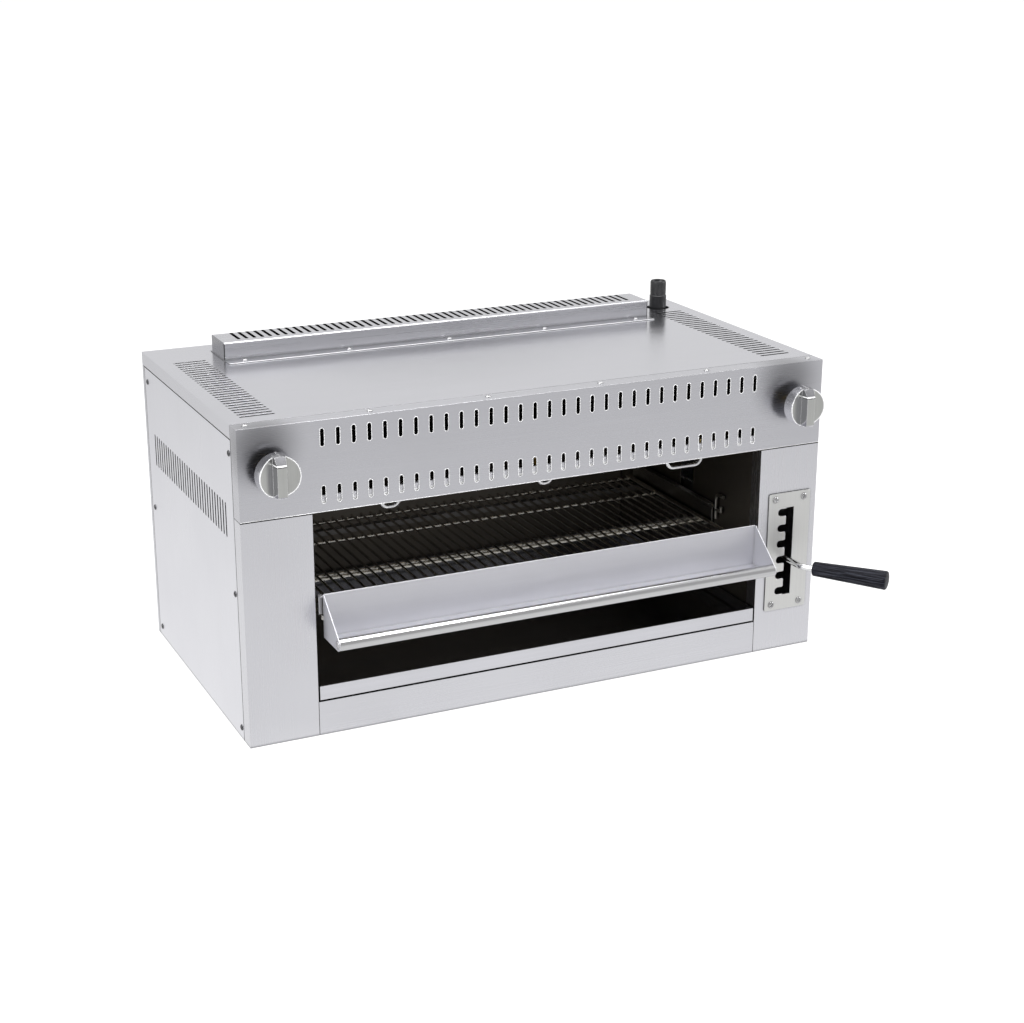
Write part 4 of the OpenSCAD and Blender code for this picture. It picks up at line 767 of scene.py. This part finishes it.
def randomFrom(tree, kind, low, high, seed):
    # a seeded draw for every point
    n = addNode(tree, "FunctionNodeRandomValue", {"Seed": seed}, data_type=kind)
    ends = [i for i in n.inputs if i.enabled and i.name in ("Min", "Max")]
    ends[0].default_value, ends[1].default_value = low, high
    return next(o for o in n.outputs if o.enabled)


growSettings = {
    "corners": 5, "share": 0.499,  # points in a corner; its radius against the slot's width, just short of half
    "lipSides": 6, "spin": (0.0, 3.1), "beadSteps": 2, "beadSpread": ((0.8, 1.1, 0.7), (1.2, 1.5, 1.0)),
}


def rimTree(s):
    # a rounded lip round a slot, on every point
    tree, gin, gout = growTree("slotRims", {"Length": 0.025, "Width": 0.005, "Lip": 0.0004, "Turn": (0.0, 0.0, 0.0)})
    outline = addNode(tree, "GeometryNodeCurvePrimitiveQuadrilateral", {"Width": gin["Width"], "Height": gin["Length"]})
    radius = mathNode(tree, "MULTIPLY", gin["Width"], s["share"])
    corners = {"Curve": outline.outputs[0], "Count": s["corners"], "Radius": radius}
    rounded = addNode(tree, "GeometryNodeFilletCurve", corners, mode="POLY")
    section = addNode(tree, "GeometryNodeCurvePrimitiveCircle", {"Resolution": s["lipSides"], "Radius": gin["Lip"]})
    swept = addNode(tree, "GeometryNodeCurveToMesh", {"Curve": rounded.outputs[0], "Profile Curve": section.outputs[0]})
    turn = addNode(tree, "GeometryNodeTransform", {"Geometry": swept.outputs[0], "Rotation": gin["Turn"]})
    return finishTree(tree, gin, gout, turn.outputs[0])


def screwTree(s):
    # screw heads on points, each turned by a seeded angle
    tree, gin, gout = growTree("screwHeads", {"Head": "NodeSocketObject", "Face": (0.0, 0.0, 0.0), "Seed": 4})
    head = addNode(tree, "GeometryNodeObjectInfo", {"Object": gin["Head"]}).outputs["Geometry"]
    drawn = randomFrom(tree, "FLOAT", *s["spin"], gin["Seed"])
    spin = addNode(tree, "ShaderNodeCombineXYZ", {"Z": drawn}).outputs[0]
    face, spin = (addNode(tree, "FunctionNodeEulerToRotation", {0: v}).outputs[0] for v in (gin["Face"], spin))
    both = addNode(tree, "FunctionNodeRotateRotation", {0: face, 1: spin}, rotation_space="LOCAL")
    return finishTree(tree, gin, gout, head, Rotation=both.outputs[0])


def weldTree(s):
    # small flattened beads where wires cross
    tree, gin, gout = growTree("weldBeads", {"Size": 0.0022, "Seed": 7})
    bead = addNode(tree, "GeometryNodeMeshIcoSphere", {"Subdivisions": s["beadSteps"], "Radius": gin["Size"]})
    spread = randomFrom(tree, "FLOAT_VECTOR", *s["beadSpread"], gin["Seed"])
    return finishTree(tree, gin, gout, bead.outputs["Mesh"], Scale=spread)


def growOn(name, points, tree, values):
    # points in metres carry a node tree; the result comes back as a plain mesh
    mesh = bpy.data.meshes.new(name)
    mesh.from_pydata([tuple(p) for p in points], [], [])
    obj = newObject(name, mesh)
    mod = obj.modifiers.new("grow", "NODES")
    ids = {i.name: i.identifier for i in tree.interface.items_tree if i.in_out == "INPUT"}
    mod.node_group = tree
    for label, value in values.items():
        mod[ids[label]] = value
    return bakeModifiers(obj)


slotRims, screwHeads, weldBeads = (make(growSettings) for make in (rimTree, screwTree, weldTree))
half = math.pi / 2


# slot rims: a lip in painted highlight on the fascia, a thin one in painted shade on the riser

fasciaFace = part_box("control_fascia")[0].y / mm
rimSettings = {
    "fasciaRims": {"node": "control_fascia", "finish": "rimSteel", "length": 25.9, "width": 6.4, "lip": 0.55,
                   "turn": (half, 0, 0), "count": 31, "pitch": 22.57,
                   "rows": [(0, fasciaFace + 0.055, z) for z in (432.7, 352.7)]},
    "riserRims": {"node": "flue_riser", "finish": "sootSteel", "length": 44.4, "width": 4.9, "lip": 0.25,
                  "turn": (0, 0, 0), "count": 54, "pitch": 12.5, "rows": [(0, 165.5, 484.4)]},
}


def slotRow(count, pitch, middle):
    return [(Vector(middle) + Vector(((i - (count - 1) / 2) * pitch, 0, 0))) * mm for i in range(count)]


def buildRims(rims):
    for name, s in rims.items():
        points = [p for middle in s["rows"] for p in slotRow(s["count"], s["pitch"], middle)]
        obj = growOn(name, points, slotRims, {
            "Length": s["length"] * mm, "Width": s["width"] * mm, "Lip": s["lip"] * mm, "Turn": s["turn"],
            "Material": finish[s["finish"]]})
        obj.data.shade_smooth()
        dress(obj, s["finish"], s["node"])


buildRims(rimSettings)
print("slot rims grown")


# screws with a cross recess

headSettings = {
    "rings": (0.03, 0.06, 0.1, 0.14, 0.2, 0.28, 0.36, 0.44, 0.5, 0.54, 0.6, 0.7, 0.8, 0.88, 0.94, 0.98, 1.0),
    "steps": 48, "dome": 0.865628, "skirt": 0.22,  # fall of the dome and height of its rim
    "recessDepth": 0.75, "recessFade": 1.15, "armHalf": 0.15, "armReach": 0.6, "sharp": 35,
}
sideHead = {"finish": "darkScrew", "radius": 4.2, "height": 2.0}
topHead = {"finish": "screwMetal", "radius": 4.2, "height": 2.0, "turn": (0, 0, 0)}
plateHead = {"finish": "screwMetal", "radius": 5.0, "height": 2.6, "turn": (half, 0, 0)}
sidePlaces = [(y, z) for z in (16.5, 215.4298, 415.5) for y in (-202.0, 213.0)]
screwSettings = {
    # a set stands for a CAD node, or only rides with the one that it is near
    "rightSideScrews": {**sideHead, "stands": "side_screws", "turn": (0, half, 0),
                        "points": [(457, y, z) for y, z in sidePlaces]},
    "leftSideScrews": {**sideHead, "near": "side_screws", "turn": (0, -half, 0),
                       "points": [(-457, y, z) for y, z in sidePlaces]},
    "topEdgeScrews": {**topHead, "stands": "top_screws", "points": [((i - 2.5) * 176, -224, 457) for i in range(6)]},
    "riserScrews": {**topHead, "near": "top_screws", "points": [((i - 2) * 166, 116, 458.2) for i in range(5)]},
    "plateScrews": {**plateHead, "stands": "notch_plate_screws",
                    "points": [(x, -241, z) for x in (384.0, 434.5) for z in (74.75, 245.25)]},
}
firstScrewSeed = 3


def crossHead(name, radius, height, s):
    # domed head with a cross recess, base at z = 0
    steps = s["steps"]
    verts = []
    for r in (*s["rings"], None):
        for k in range(steps):
            a = 2 * math.pi * (k + 0.5) / steps
            if r is None:  # foot of the skirt
                verts.append(Vector((radius * math.cos(a), radius * math.sin(a), 0)))
                continue
            x, y = r * math.cos(a), r * math.sin(a)
            z = height * (math.sqrt(1 - r * r * s["dome"]) if r < 1 else s["skirt"])
            near, far = sorted((abs(x), abs(y)))
            if near < s["armHalf"] and far < s["armReach"]:
                z -= height * s["recessDepth"] * (s["recessFade"] - r)
            verts.append(Vector((x * radius, y * radius, z)))
    verts += [Vector((0, 0, height * (1 - s["recessDepth"] * s["recessFade"]))), Vector((0, 0, 0))]
    return newObject(name, meshFrom(name, verts, closedRings(len(s["rings"]) + 1, steps), angle=s["sharp"]))


def buildScrews(groups, shape):
    for number, (name, s) in enumerate(groups.items()):
        head = crossHead(name + "Head", s["radius"] * mm, s["height"] * mm, shape)
        obj = growOn(name, [Vector(p) * mm for p in s["points"]], screwHeads, {
            "Head": head, "Face": s["turn"], "Seed": number + firstScrewSeed, "Material": finish[s["finish"]]})
        bpy.data.objects.remove(head)
        obj.data.shade_smooth()
        obj.data.set_sharp_from_angle(angle=math.radians(shape["sharp"]))
        dress(obj, s["finish"], s.get("stands") or s["near"], replaced="stands" in s)


buildScrews(screwSettings, headSettings)
print("screws driven")


# weld beads where the rack's wires cross its rods

weldSettings = {"wires": 43, "pitch": 16.0, "rods": (-100, -88, 51, 140), "height": 178.7,
                "endX": 343.5, "endHeight": 176.8, "size": 1.1, "seed": 7}


def buildWelds(s):
    wires = [(i - (s["wires"] - 1) / 2) * s["pitch"] for i in range(s["wires"])]
    points = [Vector((x, y, s["height"])) * mm for x in wires for y in s["rods"]]
    points += [Vector((end * s["endX"], y, s["endHeight"])) * mm for end in (-1, 1) for y in s["rods"]]
    obj = growOn("rackWelds", points, weldBeads, {
        "Size": s["size"] * mm, "Seed": s["seed"], "Material": finish["wireSteel"]})
    obj.data.shade_smooth()
    dress(obj, "wireSteel", "rack_grid")


buildWelds(weldSettings)


# knobs and notch plate with rounded edges

bevelSettings = {
    "knob_left": {"name": "leftKnob", "width": 1.1 * mm, "finish": "knobMetal", "draw": (-0.410, 0.396)},
    "knob_right": {"name": "rightKnob", "width": 1.1 * mm, "finish": "knobMetal", "draw": (0.410, 0.396)},
    "notch_plate": {"name": "notchPlate", "width": 0.3 * mm, "finish": "plateSteel"},
}
drawSettings = {"from": -260.5, "out": 6.5, "wide": 27.5, "narrow": 0.965}


def drawOut(obj, axis, s):
    # the front half of a knob stands further out, and its rim is a little narrower
    x, z = axis
    for v in obj.data.vertices:
        if v.co.y < s["from"] * mm:
            v.co.y -= s["out"] * mm
            if math.hypot(v.co.x - x, v.co.z - z) > s["wide"] * mm:
                v.co.x = x + (v.co.x - x) * s["narrow"]
                v.co.z = z + (v.co.z - z) * s["narrow"]


for node, s in bevelSettings.items():
    piece = bevelled(node, s["name"], s["width"])
    if "draw" in s:
        drawOut(piece, s["draw"], drawSettings)
    dress(bakeModifiers(piece), s["finish"], node, replaced=True)
print("rounded pieces made")


# lever grip

gripSettings = {
    "start": 19.0, "length": 114.8, "r0": 11.0, "r1": 14.5, "around": 96, "round": 2.5,
    "nearEnd": (0.0, 0.6, 1.3, 2.5, 5.0, 8.0, 11.0), "middle": (11.0, 103.0, 22),  # rings along the grip
    "farEnd": (106, 109.5, 112.3, 113.5, 114.3, 114.8),
    "flutes": 12, "depth": 0.9, "fadeIn": (3.0, 8.0), "fadeOut": (6.0, 6.0),  # start and length of each end's fade
    "bend": 38.0, "corner": (409.15, -280.8, 147.0), "sharp": 50,
}


def buildGrip(s):
    # tapered grip with soft flutes that run out before both ends
    n, verts, uvs = s["around"], [], []
    first, last, parts = s["middle"]
    stations = [*s["nearEnd"], *(first + (last - first) * k / parts for k in range(1, parts + 1)), *s["farEnd"]]
    for t in stations:
        base = s["r0"] + (s["r1"] - s["r0"]) * t / s["length"]
        toEnd = s["length"] - t
        fromEnd = min(t, toEnd)
        if fromEnd < s["round"]:
            base -= s["round"] * (1 - math.sqrt(max(0.0, 1 - (1 - fromEnd / s["round"]) ** 2)))
        fade = 1.0
        for distance, (start, reach) in ((t, s["fadeIn"]), (toEnd, s["fadeOut"])):
            fade *= min(1.0, max(0.0, (distance - start) / reach))
        for k in range(n):
            a = 2 * math.pi * k / n
            r = base - s["depth"] * fade * (0.5 + 0.5 * math.cos(s["flutes"] * a)) ** 2
            verts.append(Vector((r * math.cos(a), r * math.sin(a), t)))
            uvs.append((k / n, t / s["length"]))
    verts += [Vector((0, 0, 0)), Vector((0, 0, s["length"]))]
    uvs += [(0.5, 0.0), (0.5, 1.0)]
    place = Matrix.Translation(Vector(s["corner"]) * mm)
    place = place @ Matrix.Rotation(math.radians(s["bend"]), 4, "Z") @ Matrix.Rotation(half, 4, "X")
    verts = [place @ ((v + Vector((0, 0, s["start"]))) * mm) for v in verts]
    mesh = meshFrom("leverGrip", verts, closedRings(len(stations), n), angle=s["sharp"])
    layer = mesh.uv_layers.new(name="along")
    for loop in mesh.loops:
        layer.data[loop.index].uv = uvs[loop.vertex_index]
    dress(newObject("leverGrip", mesh), "gripPlastic", "lever_grip", replaced=True)


buildGrip(gripSettings)


def sweepRound(path, radius, around):
    # closed round tube along points, with a frame carried along the path
    verts = []
    up = Vector((0, 0, 1))
    for i, p in enumerate(path):
        d = (path[min(i + 1, len(path) - 1)] - path[max(i - 1, 0)]).normalized()
        side = up.cross(d)
        if side.length < 1e-4:
            side = Vector((1, 0, 0)).cross(d)
        side.normalize()
        up = d.cross(side).normalized()
        for k in range(around):
            a = 2 * math.pi * k / around
            verts.append(p + (side * math.cos(a) + up * math.sin(a)) * radius)
    return verts + [path[0], path[-1]], closedRings(len(path), around)


# counterbalance spring

springSettings = {
    "centre": (-390.0, 60.0), "bottom": 151.3, "top": 300.0, "coilRadius": 7.0, "wire": 1.1, "around": 10, "turns": 17,
    "perTurn": 24, "growOver": 8,  # points in a turn, and points over which the coil opens at each end
    "lead": 12.0, "gap": 3.0, "hookParts": 8,  # straight ends and the space between them and the coil
}


def buildSpring(s):
    cx, cy = s["centre"]
    z0, z1, lead = s["bottom"], s["top"], s["lead"]
    hook = [(lead - s["gap"]) * i / s["hookParts"] for i in range(s["hookParts"] + 1)]
    path = [Vector((cx, cy, z0 + h)) for h in hook]
    total = s["turns"] * s["perTurn"]
    for i in range(total + 1):
        a = 2 * math.pi * i / s["perTurn"]
        r = s["coilRadius"] * min(1.0, i / s["growOver"], (total - i) / s["growOver"])
        path.append(Vector((cx + r * math.cos(a), cy + r * math.sin(a), z0 + lead + (z1 - z0 - 2 * lead) * i / total)))
    path += [Vector((cx, cy, z1 - lead + s["gap"] + h)) for h in hook]
    verts, faces = sweepRound([p * mm for p in path], s["wire"] * mm, s["around"])
    obj = newObject("liftSpring", meshFrom("liftSpring", verts, faces))
    obj.data.materials.append(finish["chromeMetal"])
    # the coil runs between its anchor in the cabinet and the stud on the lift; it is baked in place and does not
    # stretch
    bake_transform(obj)
    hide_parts("lift_spring")


buildSpring(springSettings)


# gas nipple

nippleSettings = {
    "x": 412.0, "y": 185.0, "around": 64, "body": 14.0, "bodyLow": 414.5, "bore": 10.8, "boreDepth": 30, "top": 503.0,
    "threadLow": 479.0, "crest": 13.3, "root": 12.4, "pitch": 1.8, "perPitch": 6, "ease": 2.0, "flank": 1.4,
    "sharp": 45,
}


def buildNipple(s):
    # turned body, thread as a true helix on the upper end, open bore
    n, verts = s["around"], []
    low, top, root, bore = s["threadLow"], s["top"], s["root"], s["bore"]
    step = s["pitch"] / s["perPitch"]
    floor = s["bodyLow"] + s["boreDepth"]
    rows = [(s["body"], s["bodyLow"]), (s["body"], low - 1.0), (root + 0.4, low)]
    rows += [(None, low + 0.6 + i * step) for i in range(1, int((top - low - 2.5) / step))]
    rows += [(root - 0.1, top - 0.3), (root - 0.5, top), (bore + 0.3, top), (bore, top - 0.4), (bore, floor)]
    for r, z in rows:
        for k in range(n):
            a = 2 * math.pi * k / n
            radius = r
            if r is None:  # on the thread
                ridge = 1 - abs(2 * ((z / s["pitch"] - k / n) % 1.0) - 1)
                ease = min(1.0, (z - low) / s["ease"], (top - 1.0 - z) / s["ease"])
                radius = root + (s["crest"] - root) * min(1.0, ridge * s["flank"]) * max(0.0, ease)
            verts.append(Vector((s["x"] + radius * math.cos(a), s["y"] + radius * math.sin(a), z)) * mm)
    verts += [Vector((s["x"], s["y"], z)) * mm for z in (s["bodyLow"], floor)]
    obj = newObject("gasNipple", meshFrom("gasNipple", verts, closedRings(len(rows), n), angle=s["sharp"]))
    dress(obj, "blackPipe", "gas_inlet", replaced=True)


buildNipple(nippleSettings)
print("grip, spring and nipple shaped")


# joints, hems and folds of the sheet metal

jointSettings = {
    "proud": 0.06,
    "bars": [  # low corner, high corner, outer face that the joint opens to
        ((355.7, -239.0, 326.5), (457.0, -238.5, 328.2), "y"),
        ((456.5, -212.5, 0.5), (457.0, -210.9, 436.2), "x"),
        ((456.5, -211.2, 435.6), (457.0, 227.2, 437.3), "x"),
        ((456.5, 227.0, 0.5), (457.0, 228.1, 436.2), "x"),
        ((355.1, -239.0, 0.6), (355.8, -238.5, 50.2), "y"),
    ],
}
boxSides = ((0, 1, 3, 2), (4, 6, 7, 5), (0, 4, 5, 1), (2, 3, 7, 6), (0, 2, 6, 4), (1, 5, 7, 3))


def boxMesh(name, boxes):
    verts, faces = [], []
    for lo, hi in boxes:
        faces += [tuple(len(verts) + i for i in f) for f in boxSides]
        verts += [Vector((x, y, z)) * mm for x in (lo[0], hi[0]) for y in (lo[1], hi[1]) for z in (lo[2], hi[2])]
    return meshFrom(name, verts, faces, smooth=False)


def buildJoints(s):
    # painted shadow: a dark line in each joint between outer panels, standing a little proud
    boxes = []
    for lo, hi, face in s["bars"]:
        lo, hi = list(lo), list(hi)
        if face == "y":
            lo[1] -= s["proud"]
        else:
            hi[0] += s["proud"]
        boxes.append((lo, hi))
        boxes.append(((-hi[0], lo[1], lo[2]), (-lo[0], hi[1], hi[2])))
    dress(newObject("jointLines", boxMesh("jointLines", boxes)), "sootSteel", "base_pan")


buildJoints(jointSettings)

hemAround = 16
hemSettings = {  # at: y and z of the middle line
    "troughHem": {"node": "rack_trough", "finish": "troughSteel", "radius": 1.15, "half": 345.5, "at": (-244.9, 211.1)},
    # the fascia's and the flange's hems are near white, a painted highlight along the edge
    "fasciaHem": {"node": "control_fascia", "finish": "rimSteel", "radius": 0.45, "half": 456.6, "at": (-238.9, 328.5)},
    "flangeHem": {"node": "flue_riser", "finish": "rimSteel", "radius": 0.55, "half": 359.6, "at": (104.2, 457.9)},
}


def buildHems(s):
    for name, hem in s.items():
        path = [Vector((hem["half"] * part, *hem["at"])) * mm for part in (-1.0, -0.5, 0.0, 0.5, 1.0)]
        verts, faces = sweepRound(path, hem["radius"] * mm, hemAround)
        dress(newObject(name, meshFrom(name, verts, faces)), hem["finish"], hem["node"])


buildHems(hemSettings)


stripSettings = {"half": 350.0, "low": 331.0, "top": 350.4, "face": -236.9, "back": -231.9}


def buildStrip(s):
    # pale strip on the fascia's inner lip, seen through the lower slots: its near-white colour is painted light for the
    # light falling through the slots onto the lip, and its upper part is darker as painted shade
    box = ((-s["half"], s["face"], s["low"]), (s["half"], s["back"], s["top"]))
    dress(newObject("fibreStrip", boxMesh("fibreStrip", [box])), "fibreWhite", "control_fascia")


buildStrip(stripSettings)
print("hems rolled")
